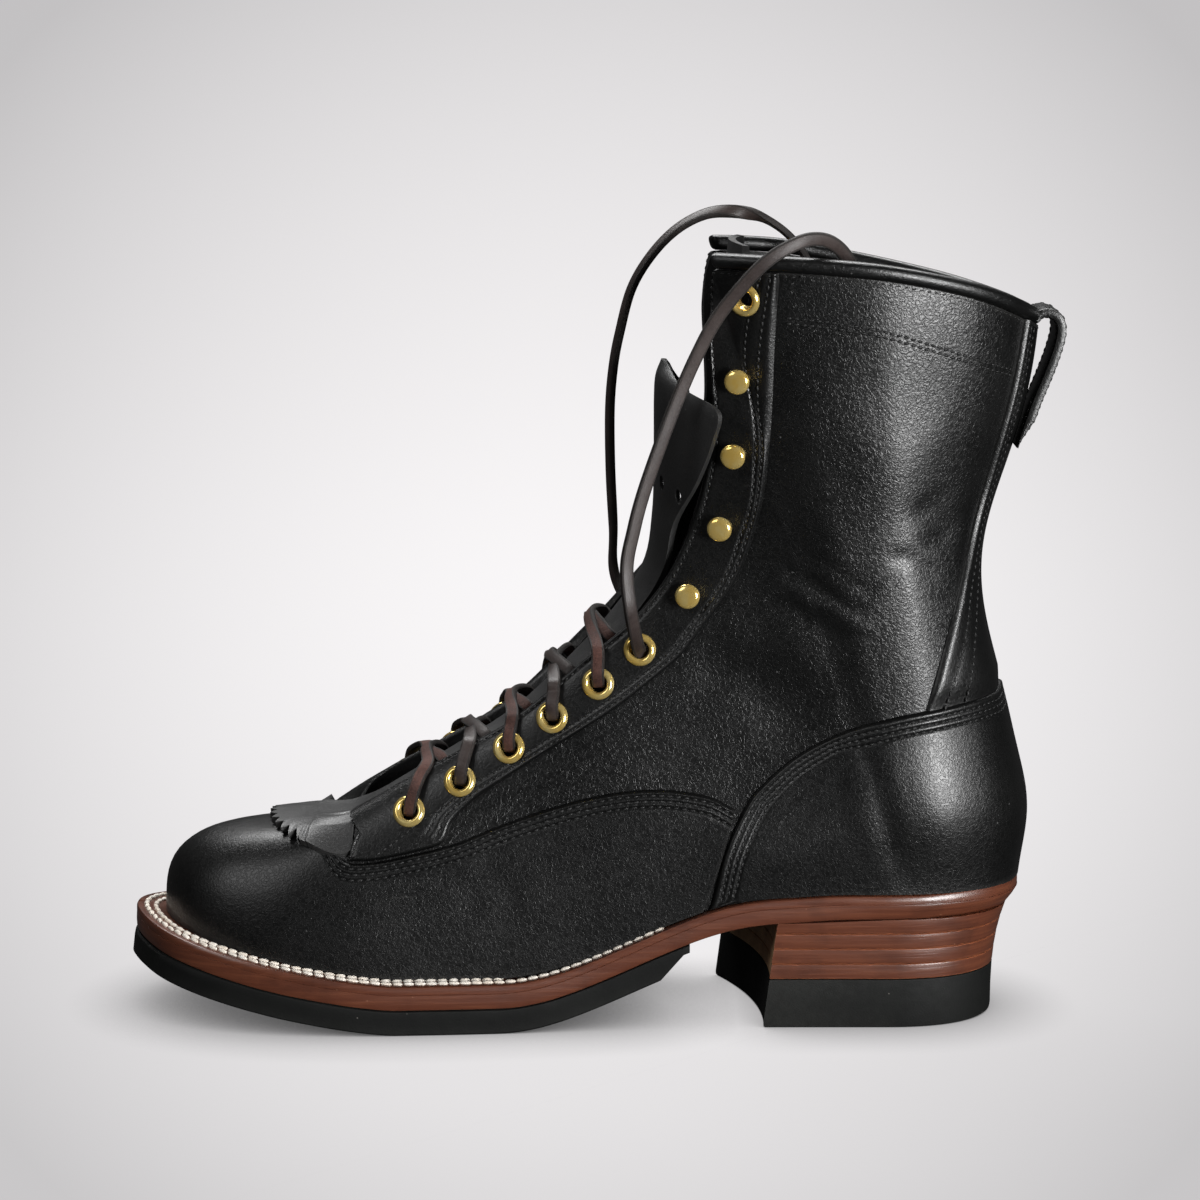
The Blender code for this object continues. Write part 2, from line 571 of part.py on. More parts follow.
def make_upper(parts, cutters, holes):
    """The wall of the boot, the overlays sewn on it, and the lace holes through both."""
    upper = add_mesh("upper", sheet(upper_grid(0.0), ring=True), LEATHER_BLACK, parts)
    thicken(upper, WALL, inward=True)
    cut(upper, holes, "DIFFERENCE")

    both = (-CUT_REACH, CUT_REACH)
    vamp = VAMP_FRONT + VAMP_WING + moved(COUNTER_FRONT[::-1], -2 * SEAM_GAP, 0) + [(-62, 0), (-275, 0)]
    overlay("vamp", vamp, "Y", both, parts, cutters)

    counter = COUNTER_FRONT + COUNTER_TOP + [(70, 0), (-61, 0)]
    overlay("counter", counter, "Y", both, parts, cutters)

    over_wing = [point for point in moved(VAMP_WING, 0, SEAM_GAP) if point[0] < EYESTAY_REAR[0][0]]
    eyestay = EYESTAY_REAR + EYESTAY_FRONT + over_wing
    spans = {"lateral": (-CUT_REACH, THROAT_LATERAL), "medial": (THROAT_MEDIAL, CUT_REACH)}
    for side, span in spans.items():
        item = overlay("eyestay_" + side, eyestay, "Y", span, parts, cutters)
        cut(item, holes, "DIFFERENCE")

    strip = [(half, z) for z, half in BACKSTAY] + [(-half, z) for z, half in BACKSTAY[::-1]]
    backstay = overlay("backstay", strip, "X", (0, CUT_REACH), parts, cutters)
    below = moved(COUNTER_TOP, 0, SEAM_GAP) + [(70, 0), (COUNTER_TOP[0][0], 0)]
    cut(backstay, add_cutter("counter_below_backstay", prism(below, "Y", *both), cutters), "DIFFERENCE")


def make_binding(parts):
    """Rolled edge along the collar, from one side of the throat round the back to the other."""
    sections = []
    turns = [2 * math.pi * (k + 0.5) / BINDING_SIDES for k in range(BINDING_SIDES)]
    seat = 1.5 * GAP + BINDING_HEIGHT / 2 * math.cos(math.pi / BINDING_SIDES)
    for u in [u for u in mesh_ribs() if COLLAR_RIB <= u <= RIB_COUNT - COLLAR_RIB]:
        edge, _, up, out = face_frame(u, 1.0, (OVERLAY_TOP - WALL) / 2)
        middle = edge + up * seat
        sections.append([middle + out * math.cos(turn) * BINDING_WIDTH / 2
                         + up * math.sin(turn) * BINDING_HEIGHT / 2 for turn in turns])
    add_mesh("collar_binding", loft(sections), LEATHER_BLACK, parts)


def strap(path, across, width, thickness):
    """Flat strip along a path, its width along the across vector of each point."""
    sections = []
    for k, point in enumerate(path):
        run = path[min(k + 1, len(path) - 1)] - path[max(k - 1, 0)]
        side = across[k] - run * np.dot(across[k], run) / np.dot(run, run)
        side /= np.linalg.norm(side)
        face = np.cross(run, side)
        face /= np.linalg.norm(face)
        sections.append([point + side * a * width / 2 + face * b * thickness / 2
                         for a, b in ((-1, -1), (1, -1), (1, 1), (-1, 1))])
    return loft(sections)


def make_pull_loop(parts):
    path = smooth_path([(x, 0, z) for x, z in PULL_LOOP], 15)
    across = [np.array([0.0, 1.0, 0.0])] * len(path)
    add_mesh("pull_loop", strap(path, across, LOOP_WIDTH, LOOP_THICK), LEATHER_BLACK, parts)


# Tongue and false tongue

def crest_frames(sections):
    """Crest point of each section with the direction out of the boot there."""
    points = np.array([(s.x, s.y, s.z) for s in sections], float)
    runs = np.gradient(points, axis=0)
    outs = np.stack([-runs[:, 2], np.zeros(len(runs)), runs[:, 0]], axis=1)
    return points, outs / np.linalg.norm(outs, axis=1)[:, None]


def bowed_rows(sections, columns):
    """Rows of points across each section, from the medial edge to the lateral one."""
    points, outs = crest_frames(sections)
    shares = np.linspace(1, -1, columns)
    return [[point + (0, section.half * s, 0)
             - out * (section.bow + (section.turn if s < 0 else 0)) * s * s for s in shares]
            for section, point, out in zip(sections, points, outs)]


def make_tongue(parts):
    rows = bowed_rows(TONGUE, 7)
    item = add_mesh("tongue", sheet(list(zip(*rows))), LEATHER_BLACK, parts)
    thicken(item, TONGUE_THICK, inward=True)


def fringe_rows():
    """Rings of the fan over the vamp, the outermost one cut into teeth, and the fan's straight base."""
    grid = upper_grid(OVERLAY_TOP)
    form = sheet(grid, ring=True)
    tree = BVHTree.FromBMesh(form)
    form.free()
    lift = KILTIE_THICK + FAN_CLEAR

    def laid_on_vamp(x, y):
        hit, normal, _, _ = tree.ray_cast(Vector((x, y, CUT_REACH)) * MM, Vector((0, 0, -1)))
        return np.array((x, y, hit.z / MM + lift / max(normal.z, FAN_STEEPEST)))

    shares = np.linspace(1, -1, 2 * KILTIE_TEETH + 1)
    rows = []
    for number, ring in enumerate(FAN_RINGS):
        row = []
        for k, share in enumerate(shares):
            angle = math.radians(FAN_TURN_MEDIAL if share > 0 else FAN_TURN_LATERAL) * share
            notched = number == 0 and k % 2 and share > LAST_TOOTH
            reach = ring - (2 * TOOTH if notched else 0)
            row.append(laid_on_vamp(FAN_ROOT[0] - FAN_LONG * reach * math.cos(angle),
                                    FAN_ROOT[1] + FAN_WIDE * reach * math.sin(angle)))
        rows.append(row)
    rows.append([laid_on_vamp(FAN_BASE_X, FAN_ROOT[1] + FAN_BASE_HALF * share) for share in shares])
    return rows


def make_kiltie(parts):
    bm = bmesh.new()

    def row_of(points):
        return [bm.verts.new(Vector(point) * MM) for point in points]

    def band(low, high):
        for k in range(len(low) - 1):
            bm.faces.new((low[k], low[k + 1], high[k + 1], high[k]))

    columns = KILTIE_TEETH // 2
    fringe = [row_of(points) for points in fringe_rows()]
    rows = [row_of(points) for points in bowed_rows(KILTIE, columns + 1)]
    for low, high in list(zip(fringe, fringe[1:])) + list(zip(rows, rows[1:])):
        band(low, high)
    for k in range(columns):
        four = fringe[-1][4 * k:4 * k + 5]
        left, right = rows[0][k], rows[0][k + 1]
        for face in ((four[0], four[1], left), (four[1], four[2], left), (four[2], right, left),
                     (four[2], four[3], right), (four[3], four[4], right)):
            bm.faces.new(face)
    item = add_mesh("kiltie", bm, LEATHER_BLACK, parts)
    thicken(item, KILTIE_THICK, inward=True)


# Lace hardware and lace

def face_frame(u, v, lift):
    """Point over the upper with the directions across, along and out of its face."""
    step = 0.02
    out = off_upper(u, v)
    up = on_upper(u, min(v + step, 1.0)) - on_upper(u, v - step)
    up /= np.linalg.norm(up)
    return on_upper(u, v) + out * lift, np.cross(up, out), up, out


def circle_on(frame, radius, height):
    middle, across, up, out = frame
    turns = [2 * math.pi * k / HARDWARE_SIDES for k in range(HARDWARE_SIDES)]
    return [middle + out * height + (across * math.cos(a) + up * math.sin(a)) * radius for a in turns]


def lace_places():
    """Eyelets and studs on both sides: name, rib number and share up the rib."""
    places = []
    for kind, spots in (("eyelet", EYELET_SPOTS), ("stud", STUD_SPOTS)):
        for k, spot in enumerate(spots):
            u, v = find_on_side(*spot)
            places.append((kind, f"{kind}_lateral_{k + 1}", u, v))
            places.append((kind, f"{kind}_medial_{k + 1}", RIB_COUNT - u, v))
    return places


def make_lace_holes(places, cutters):
    bm = bmesh.new()
    for kind, _, u, v in places:
        if kind == "eyelet":
            frame = face_frame(u, v, 0)
            ends = (-HOLE_REACH, HOLE_REACH)
            tube = loft([circle_on(frame, EYELET_BARREL + GAP, end) for end in ends])
            mesh = bpy.data.meshes.new("hole")
            tube.to_mesh(mesh)
            tube.free()
            bm.from_mesh(mesh)
            bpy.data.meshes.remove(mesh)
    return add_cutter("lace_holes", bm, cutters)


def make_hardware(places, parts):
    for kind, name, u, v in places:
        frame = face_frame(u, v, HARDWARE_LIFT)
        profile = EYELET if kind == "eyelet" else STUD
        rings = [circle_on(frame, turn.radius, turn.height) for turn in profile]
        add_mesh(name, loft(rings, ring=kind == "eyelet"), BRASS, parts)


def lace_bar(u_under, u_over, v_over, upper_strip):
    """One strip: from beside the far facing, over the false tongue, to the near facing's eyelet."""
    crest, outs = crest_frames(KILTIE)
    start = on_upper(u_under, 1.0)
    lift = OVERLAY_TOP + LACE_CLEAR + LACE_THICK / 2
    edge = above_upper(u_over, 1.0, lift)
    end = above_upper(u_over, v_over + (1 - v_over) * LACE_STOP, lift)
    middle_x = (start[0] + edge[0]) / 2
    rank = np.interp(middle_x, crest[:, 0], range(len(crest)))
    out = np.array([np.interp(rank, range(len(crest)), outs[:, axis]) for axis in range(3)])
    middle = np.array([np.interp(rank, range(len(crest)), crest[:, axis]) for axis in range(3)])
    middle = middle + out * (LACE_RISE + LACE_THICK * (LACE_OVER if upper_strip else LACE_UNDER))
    towards = np.sign(middle[1] - start[1])
    start = start + out * LACE_RISE + (0, LACE_START_INSET * towards, 0)
    path = smooth_path([start, middle, edge, end], 9)
    facing = off_upper(u_over, 1.0)
    faces = [out * (1 - share) + facing * share for share in np.linspace(0, 1, len(path)) ** 2]
    run = np.gradient(path, axis=0)
    return strap(path, np.cross(run, faces), LACE_WIDTH, LACE_THICK)


def make_crossings(spots, parts, cutters):
    for k in range(1, CROSSINGS + 1):
        u, v = spots[f"eyelet_lateral_{k}"]
        u_next, _ = spots[f"eyelet_lateral_{k + 1}"]
        under = (u + u_next) / 2
        item = add_mesh(f"lace_crossing_{k}", lace_bar(RIB_COUNT - under, u, v, k % 2), LACE_BROWN, parts)
        other = lace_bar(under, RIB_COUNT - u, v, (k + 1) % 2)
        cut(item, add_cutter(f"lace_crossing_{k}_other", other, cutters), "UNION")


def make_lace_end(name, eyelet, route, parts):
    crest, _, _, out = face_frame(*eyelet, HARDWARE_LIFT + EYELET_HEIGHT)
    points = smooth_path([crest + out * LACE_END_RISE] + route, LACE_END_POINTS)
    curve = bpy.data.curves.new(name, "CURVE")
    curve.dimensions = "3D"
    curve.bevel_depth = LACE_END_DIAMETER / 2 * MM
    curve.bevel_resolution = 2
    curve.use_fill_caps = True
    spline = curve.splines.new("POLY")
    spline.points.add(len(points) - 1)
    for spot, point in zip(spline.points, points):
        spot.co = (*(point * MM), 1.0)
    curve.materials.append(make_material(name, LACE_BROWN))
    parts.objects.link(bpy.data.objects.new(name, curve))


def main():
    clear_scene()
    parts = make_collection("work_boot")
    cutters = make_collection("work_boot_cutters")
    places = lace_places()
    make_sole(parts, cutters)
    make_heel(parts, cutters)
    make_upper(parts, cutters, make_lace_holes(places, cutters))
    make_binding(parts)
    make_pull_loop(parts)
    make_tongue(parts)
    make_kiltie(parts)
    make_hardware(places, parts)
    spots = {name: (u, v) for _, name, u, v in places}
    make_crossings(spots, parts, cutters)
    for side, route in (("lateral", LATERAL_END), ("medial", MEDIAL_END)):
        make_lace_end("lace_end_" + side, spots[f"eyelet_{side}_{LAST_LACED}"], route, parts)


main()
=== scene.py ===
import math

import bmesh
import bpy
import numpy as np
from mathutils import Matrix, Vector
from mathutils.bvhtree import BVHTree


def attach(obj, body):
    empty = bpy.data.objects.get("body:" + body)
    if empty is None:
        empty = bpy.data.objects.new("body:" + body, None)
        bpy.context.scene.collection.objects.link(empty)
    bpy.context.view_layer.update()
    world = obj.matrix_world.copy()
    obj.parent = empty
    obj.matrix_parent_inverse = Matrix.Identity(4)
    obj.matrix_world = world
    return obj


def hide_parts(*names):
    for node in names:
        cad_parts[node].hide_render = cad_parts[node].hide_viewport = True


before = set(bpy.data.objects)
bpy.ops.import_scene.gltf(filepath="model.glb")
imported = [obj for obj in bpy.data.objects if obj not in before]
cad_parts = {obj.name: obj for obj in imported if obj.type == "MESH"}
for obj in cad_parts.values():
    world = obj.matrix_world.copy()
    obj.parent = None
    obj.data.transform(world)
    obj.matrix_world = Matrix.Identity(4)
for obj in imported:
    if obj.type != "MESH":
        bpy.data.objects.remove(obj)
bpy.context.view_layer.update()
mm = 0.001  # all shapes below are in millimetres
dice = np.random.default_rng(11)
print("frame loaded with", len(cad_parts), "nodes")


# shader node helpers
def addNode(tree, kind, settings=None, **values):
    node = tree.nodes.new(kind)
    for key, value in (settings or {}).items():
        setattr(node, key, value)
    for key, value in values.items():
        socket = node.inputs[int(key[1:])] if key[0] == "i" and key[1:].isdigit() else node.inputs[key]
        if isinstance(value, bpy.types.NodeSocket):
            tree.links.new(value, socket)
        else:
            socket.default_value = value
    return node


def newMaterial(name, **fixed):
    material = bpy.data.materials.new(name)
    material.use_nodes = True
    shader = material.node_tree.nodes["Principled BSDF"]
    for key, value in fixed.items():
        shader.inputs[key.replace("_", " ")].default_value = value
    return material, material.node_tree, shader


def maths(tree, operation, first, second=0.0, clamp=False):
    settings = dict(operation=operation, use_clamp=clamp)
    return addNode(tree, "ShaderNodeMath", settings, i0=first, i1=second).outputs[0]


def scaled(tree, value, factor):
    return maths(tree, "MULTIPLY", value, factor)


def between(tree, value, start, end, most=1.0):
    return addNode(tree, "ShaderNodeMapRange", i0=value, i1=start, i2=end, i4=most).outputs[0]


def ranged(tree, value, low, high):
    return addNode(tree, "ShaderNodeMapRange", i0=value, i3=low, i4=high).outputs[0]


def mixed(tree, amount, first, second):
    node = addNode(tree, "ShaderNodeMix", dict(data_type="RGBA"))
    for socket, value in ((node.inputs[0], amount), (node.inputs[6], first), (node.inputs[7], second)):
        if isinstance(value, bpy.types.NodeSocket):
            tree.links.new(value, socket)
        else:
            socket.default_value = (*value, 1) if isinstance(value, tuple) else value
    return node.outputs[2]


# camera, floor and light
view = dict(place=(-97, -1250, 372), target=(-97, 0, 145), lens=109.2, sensor=36, farthest=50)
studio = dict(floorReach=60000, paper=(0.03, 0.03, 0.03), paperRough=0.9, paperShine=0.1,
              middleGlow=(0.915, 0.895, 0.903), cornerGlow=(0.545, 0.533, 0.54), glowFrom=0.3, glowTo=12.4,
              # the dark colour, reach and samples after glowPower paint the contact shadow under the boot
              glowPower=1.75, paintedShadow=(0.06, 0.06, 0.06), paintedShadowReach=0.032, paintedShadowSamples=8,
              ambient=(1.0, 0.99, 1.0), ambientPower=0.03)
lamps = dict(
    overBack=dict(place=(-150, 650, 1250), target=(-100, 0, 80), size=(1300, 600), power=22),
    frontRight=dict(place=(900, -1320, 210), target=(0, 0, 150), size=(700, 600), power=38),
    frontLeft=dict(place=(-1200, -1000, 1000), target=(-150, 0, 60), size=(700, 700), power=5),
)


def aim(item, target):
    item.rotation_euler = (Vector(target) * mm - item.location).to_track_quat("-Z", "Y").to_euler()


def setCamera():
    data = bpy.data.cameras.new("photoCamera")
    data.lens = view["lens"]
    data.sensor_width = view["sensor"]
    data.clip_end = view["farthest"]
    item = bpy.data.objects.new("photoCamera", data)
    item.location = Vector(view["place"]) * mm
    aim(item, view["target"])
    bpy.context.scene.collection.objects.link(item)
    bpy.context.scene.camera = item


def setLamp(name, values):
    data = bpy.data.lights.new(name, "AREA")
    data.shape = "RECTANGLE"
    data.size, data.size_y = (side * mm for side in values["size"])
    data.energy = values["power"]
    item = bpy.data.objects.new(name, data)
    item.visible_camera = False
    item.location = Vector(values["place"]) * mm
    aim(item, values["target"])
    bpy.context.scene.collection.objects.link(item)


def setStage():
    half = studio["floorReach"] / 2
    corners = [(-half, -half, 0), (half, -half, 0), (half, half, 0), (-half, half, 0)]
    mesh = bpy.data.meshes.new("studioFloor")
    mesh.from_pydata([Vector(p) * mm for p in corners], [], [(0, 1, 2, 3)])
    floor = bpy.data.objects.new("studioFloor", mesh)
    floor.visible_glossy = False
    floor.visible_diffuse = False
    bpy.context.scene.collection.objects.link(floor)
    paper, tree, shader = newMaterial(
        "studioPaper", Base_Color=(*studio["paper"], 1), Roughness=studio["paperRough"],
        Specular_IOR_Level=studio["paperShine"], Emission_Strength=1.0)
    # the paper glows most round the line from the photo's eye point and falls off towards the corners
    place = addNode(tree, "ShaderNodeTexCoord").outputs["Object"]
    eye = Vector(view["place"]) * mm
    sight = (Vector(view["target"]) * mm - eye).normalized()
    ray = addNode(tree, "ShaderNodeVectorMath", dict(operation="SUBTRACT"), i0=place, i1=eye).outputs[0]
    ray = addNode(tree, "ShaderNodeVectorMath", dict(operation="NORMALIZE"), i0=ray).outputs[0]
    near = addNode(tree, "ShaderNodeVectorMath", dict(operation="DOT_PRODUCT"), i0=ray, i1=sight)
    turn = maths(tree, "ARCCOSINE", maths(tree, "MINIMUM", near.outputs["Value"], 1.0))
    fall = between(tree, turn, math.radians(studio["glowFrom"]), math.radians(studio["glowTo"]))
    fall = maths(tree, "POWER", fall, studio["glowPower"])
    glow = mixed(tree, fall, studio["middleGlow"], studio["cornerGlow"])
    # painted contact shadow: where the boot is close, ambient occlusion blends the floor's glow towards a
    # dark colour
    clear = addNode(tree, "ShaderNodeAmbientOcclusion", dict(samples=studio["paintedShadowSamples"]),
                    Distance=studio["paintedShadowReach"]).outputs["AO"]
    tree.links.new(mixed(tree, clear, studio["paintedShadow"], glow), shader.inputs["Emission Color"])
    mesh.materials.append(paper)
    world = bpy.data.worlds.new("studioAir")
    world.use_nodes = True
    air = world.node_tree.nodes["Background"]
    air.inputs["Color"].default_value = (*studio["ambient"], 1)
    air.inputs["Strength"].default_value = studio["ambientPower"]
    bpy.context.scene.world = world
    bpy.context.scene.view_settings.view_transform = "Standard"


setCamera()
setStage()
for lampName, lampValues in lamps.items():
    setLamp(lampName, lampValues)
print("camera, floor and", len(lamps), "lamps set")


# form of the last: each rib runs from the feather line at the welt up to the throat or collar edge
# columns: footX, footY, weltWidth, topX, topY, topZ, fullness, counterSwell, ankleHollow
toeTip = (-249, 4, 12.5, -184, 3.5, 65.4, 3.4, 0, 0)
heelBack = (48, 0, 2.5, 52.5, 0, 241.5, 1, 3.5, -17)
lateralRibs = [
    (-242, -14, 12, -183, -4, 65.8, 2.9, 0, 0), (-227, -26, 11, -181, -9.5, 67.5, 2.2, 0, 0),
    (-205, -32.5, 10.5, -176, -13, 74, 1.8, 0, 0), (-180, -34, 10, -166.5, -15, 81, 1.75, 0, 0),
    (-152, -33, 9.5, -147.5, -16.5, 92.5, 1.7, 0, 0), (-122, -32, 8, -126, -18, 106.5, 1.65, 0, 0),
    (-95, -31.5, 6, -104, -19.5, 126, 1.6, 0, 0), (-68, -31.5, 5, -84, -21, 144, 1.45, 0.5, 0),
    (-44, -32, 4, -70.5, -23, 164, 1.3, 1.5, 0), (-24, -32.5, 3.5, -62, -26, 190, 1.2, 2, 0),
    (-9, -32.8, 3.5, -59, -29, 215, 1.12, 2.5, 0.5), (1, -32.8, 3.5, -60, -31.5, 245, 1.06, 3, 1),
    (8, -32.4, 3.5, -58, -33.5, 263.5, 1, 3, 1.5), (15, -31.5, 3.5, -37, -42.5, 263, 1, 3.5, 0),
    (23, -29.5, 3.2, -8, -45.5, 261, 1, 4, -2), (37, -22.5, 3, 28.5, -36.5, 253.5, 1, 3.5, -9),
    (45, -12.5, 2.7, 47, -19.5, 245.5, 1, 3.5, -15),
]
medialRibs = [
    (-242, 21, 12, -183, 10.5, 65, 2.6, 0, 0), (-227, 37, 11, -182, 17, 65.5, 1.75, 0, 0),
    (-206, 48.5, 10.5, -178, 20.5, 72.5, 1.6, 0, 0), (-184, 54, 10, -168.5, 22, 79.5, 1.65, 0, 0),
    (-158, 54.5, 9.5, -150, 22, 90, 1.7, 0, 0), (-128, 46.5, 8, -127, 21.5, 105, 1.65, 0, 0),
    (-99, 38, 6, -105, 21, 127.5, 1.6, 0, 0), (-70, 33, 5, -88, 21.5, 147, 1.45, 0.5, 0),
    (-45, 32, 4, -73.5, 23, 166, 1.3, 1.5, 0), (-24, 32.5, 3.5, -64, 26, 191, 1.2, 2, 0),
    (-9, 32.8, 3.5, -60, 29, 216, 1.12, 2.5, 0.5), (1, 32.8, 3.5, -61, 31.5, 245, 1.06, 3, 1),
    (8, 32.4, 3.5, -57, 33.5, 264, 1, 3, 1.5), (15, 31.5, 3.5, -36, 42.5, 262.5, 1, 3.5, 0),
    (23, 29.5, 3.2, -8, 45.5, 257.5, 1, 4, -2), (37, 22.5, 3, 28.5, 36.5, 249.5, 1, 3.5, -9),
    (45, 12.5, 2.7, 47, 19.5, 243.8, 1, 3.5, -15),
]
ribs = np.array([toeTip] + lateralRibs + [heelBack] + medialRibs[::-1], float)
ribCount = len(ribs)
backRib = len(lateralRibs) + 1
collarRib = 13
soleForm = dict(toeX=-261, flatFront=-168, flatRear=-132, archRear=-36, halfSole=9, spring=18.5,
                springPower=1.35, heelHigh=37.5, midsole=5.5, welt=3, featherGap=0.6, seatLift=1.8,
                seatFrom=-45, seatTo=-10)
leatherForm = dict(wall=2.4, overlay=2.1, swellAt=0.125, swellWide=0.10, hollowAt=0.57, hollowWide=0.25)
soleTop = soleForm["midsole"] + soleForm["welt"]
seatHigh = soleForm["heelHigh"] + soleForm["seatLift"]


def betweenRibs(u):
    u = np.asarray(u, float) % ribCount
    low = np.floor(u).astype(int)
    part = (u - low)[:, None]
    before, start, end, after = (ribs[(low + k) % ribCount] for k in (-1, 0, 1, 2))

    def slope(left, right):
        together = np.where(left + right == 0, 1.0, left + right)
        return np.where(left * right > 0, 2 * left * right / together, 0.0)

    step = end - start
    slopeStart = slope(start - before, step)
    slopeEnd = slope(step, after - end)
    p2, p3 = part ** 2, part ** 3
    return (start * (2 * p3 - 3 * p2 + 1) + slopeStart * (p3 - 2 * p2 + part)
            + end * (3 * p2 - 2 * p3) + slopeEnd * (p3 - p2))


def eased(value, start, end):
    part = np.clip((value - start) / (end - start), 0, 1)
    return part * part * (3 - 2 * part)


# height of the sole's underside, without the half sole, along the foot
def soleCurve(x):
    x = np.asarray(x, float)
    s = soleForm
    spring = np.clip((s["flatFront"] - x) / (s["flatFront"] - s["toeX"]), 0, 1)
    return (s["halfSole"] + s["spring"] * spring ** s["springPower"]
            + (s["heelHigh"] - s["halfSole"]) * eased(x, s["flatRear"], s["archRear"])
            + s["seatLift"] * eased(x, s["seatFrom"], s["seatTo"]))


def outwardOf(u):
    step = 0.05
    run = betweenRibs(np.asarray(u) + step)[:, :2] - betweenRibs(np.asarray(u) - step)[:, :2]
    run /= np.linalg.norm(run, axis=1)[:, None]
    return np.stack([run[:, 1], -run[:, 0]], axis=1)


def onUpper(u, v):
    shape = np.broadcast(u, v).shape
    u, v = (np.broadcast_to(a, shape).ravel().astype(float) for a in (u, v))
    angle = np.linspace(0, math.pi / 2, 121)[None, :]
    places = np.empty((len(u), 3))
    for first in range(0, len(u), 4000):
        part = slice(first, first + 4000)
        columns = betweenRibs(u[part])[:, :, None].transpose(1, 0, 2)
        footX, footY, _, topX, topY, topZ, fullness, swell, hollow = columns
        across = 1 - np.maximum(np.cos(angle), 0) ** (2 / fullness)
        rise = np.sin(angle) ** (2 / fullness)
        f = leatherForm
        push = (swell * np.exp(-((rise - f["swellAt"]) / f["swellWide"]) ** 2)
                + hollow * np.exp(-((rise - f["hollowAt"]) / f["hollowWide"]) ** 2))
        footZ = soleCurve(footX) + soleTop + soleForm["featherGap"]
        out = outwardOf(u[part])
        line = np.stack([footX + (topX - footX) * across + push * out[:, :1],
                         footY + (topY - footY) * across + push * out[:, 1:],
                         footZ + (topZ - footZ) * rise], axis=2)
        lengths = np.cumsum(np.linalg.norm(np.diff(line, axis=1), axis=2), axis=1)
        share = np.concatenate([np.zeros((len(line), 1)), lengths / lengths[:, -1:]], axis=1)
        spot = v[part][:, None]
        k = np.clip((share < spot).sum(axis=1) - 1, 0, share.shape[1] - 2)
        rows = np.arange(len(line))
        t = ((spot[:, 0] - share[rows, k]) / (share[rows, k + 1] - share[rows, k]))[:, None]
        places[part] = line[rows, k] * (1 - t) + line[rows, k + 1] * t
    return places.reshape(*shape, 3)


def offUpper(u, v):
    stepU, stepV = 0.04, 0.02
    along = onUpper(u + stepU, v) - onUpper(u - stepU, v)
    up = onUpper(u, np.minimum(v + stepV, 1)) - onUpper(u, np.maximum(v - stepV, 0))
    normal = np.cross(along, up)
    return normal / np.linalg.norm(normal, axis=-1)[..., None]


# soft creases and dents of the shaft in side view: start, end, half width, depth (minus stands out)
creases = dict(
    lateral=[
        ((-33, 160), (-8, 147), 2.6, 0.75), ((-31, 153), (-6, 143), 2.2, -0.5),
        ((-28, 166), (-4, 154), 2.4, 0.45), ((-38, 150), (-16, 139), 3.0, 0.5),
        ((16, 186), (20, 170), 6.5, 0.9), ((2, 166.5), (18, 161.5), 2.4, 0.55),
        ((-60, 125), (-25, 112), 9.0, 0.8), ((-52, 140), (-20, 128), 7.0, -0.6),
        ((-150, 62), (-141, 42), 6.0, 0.2), ((-138, 66), (-128, 44), 5.0, 0.18),
        ((-30, 210), (20, 200), 16.0, -0.7),
    ],
    medial=[
        ((-30, 160), (0, 146), 3.0, 0.8), ((-26, 150), (4, 138), 2.6, -0.5),
        ((6, 168), (20, 161), 4.0, 1.3), ((-60, 128), (-22, 112), 8.0, 0.8),
        ((-152, 62), (-142, 42), 6.0, 0.2), ((-139, 66), (-129, 44), 5.0, 0.18),
    ],
)
creaseForm = dict(waver=0.35, waves=7.0, runOut=0.25, fadeLong=0.4)


def creaseDepth(points, u):
    c = creaseForm
    depth = np.zeros(points.shape[:-1])
    u = np.asarray(u) % ribCount
    sides = dict(lateral=u < backRib, medial=u >= backRib)
    spot = points[..., [0, 2]]
    for side, folds in creases.items():
        for start, end, half, deep in folds:
            start, end = np.array(start, float), np.array(end, float)
            run = end - start
            length = np.linalg.norm(run)
            along = ((spot - start) @ run) / length ** 2
            nearest = start + np.clip(along, 0, 1)[..., None] * run
            wave = c["waver"] * half * np.sin(along * c["waves"] + half)
            cross = np.linalg.norm(spot - nearest, axis=-1)
            sign = np.sign((spot[..., 0] - start[0]) * run[1] - (spot[..., 1] - start[1]) * run[0])
            gap = np.where((along > 0) & (along < 1), sign * cross - wave, cross)
            inside = np.minimum(along + c["runOut"], 1 + c["runOut"] - along)
            fade = eased(inside, 0, c["fadeLong"])
            depth += np.where(sides[side], deep * fade * np.exp(-(gap / half) ** 2), 0.0)
    return depth


def above(u, v, lift):
    u, v = np.broadcast_arrays(np.asarray(u, float), np.asarray(v, float))
    points = onUpper(u, v)
    lift = np.asarray(lift) - creaseDepth(points, u)
    return points + offUpper(u, v) * np.broadcast_to(lift, u.shape)[..., None]


sideSearch = dict(toeGap=0.2, pitch=0.1, rows=81, rounds=6, stepU=0.02, stepV=0.004, mostU=0.3, mostV=0.08)


def sideTable(side):
    gap = sideSearch["toeGap"]
    first, last = (gap, backRib) if side == "lateral" else (backRib, ribCount - gap)
    us = np.arange(first, last + 0.01, sideSearch["pitch"])
    u, v = np.meshgrid(us, np.linspace(0, 1, sideSearch["rows"]), indexing="ij")
    return u.ravel(), v.ravel(), onUpper(u.ravel(), v.ravel())


sideTables = {side: sideTable(side) for side in ("lateral", "medial")}


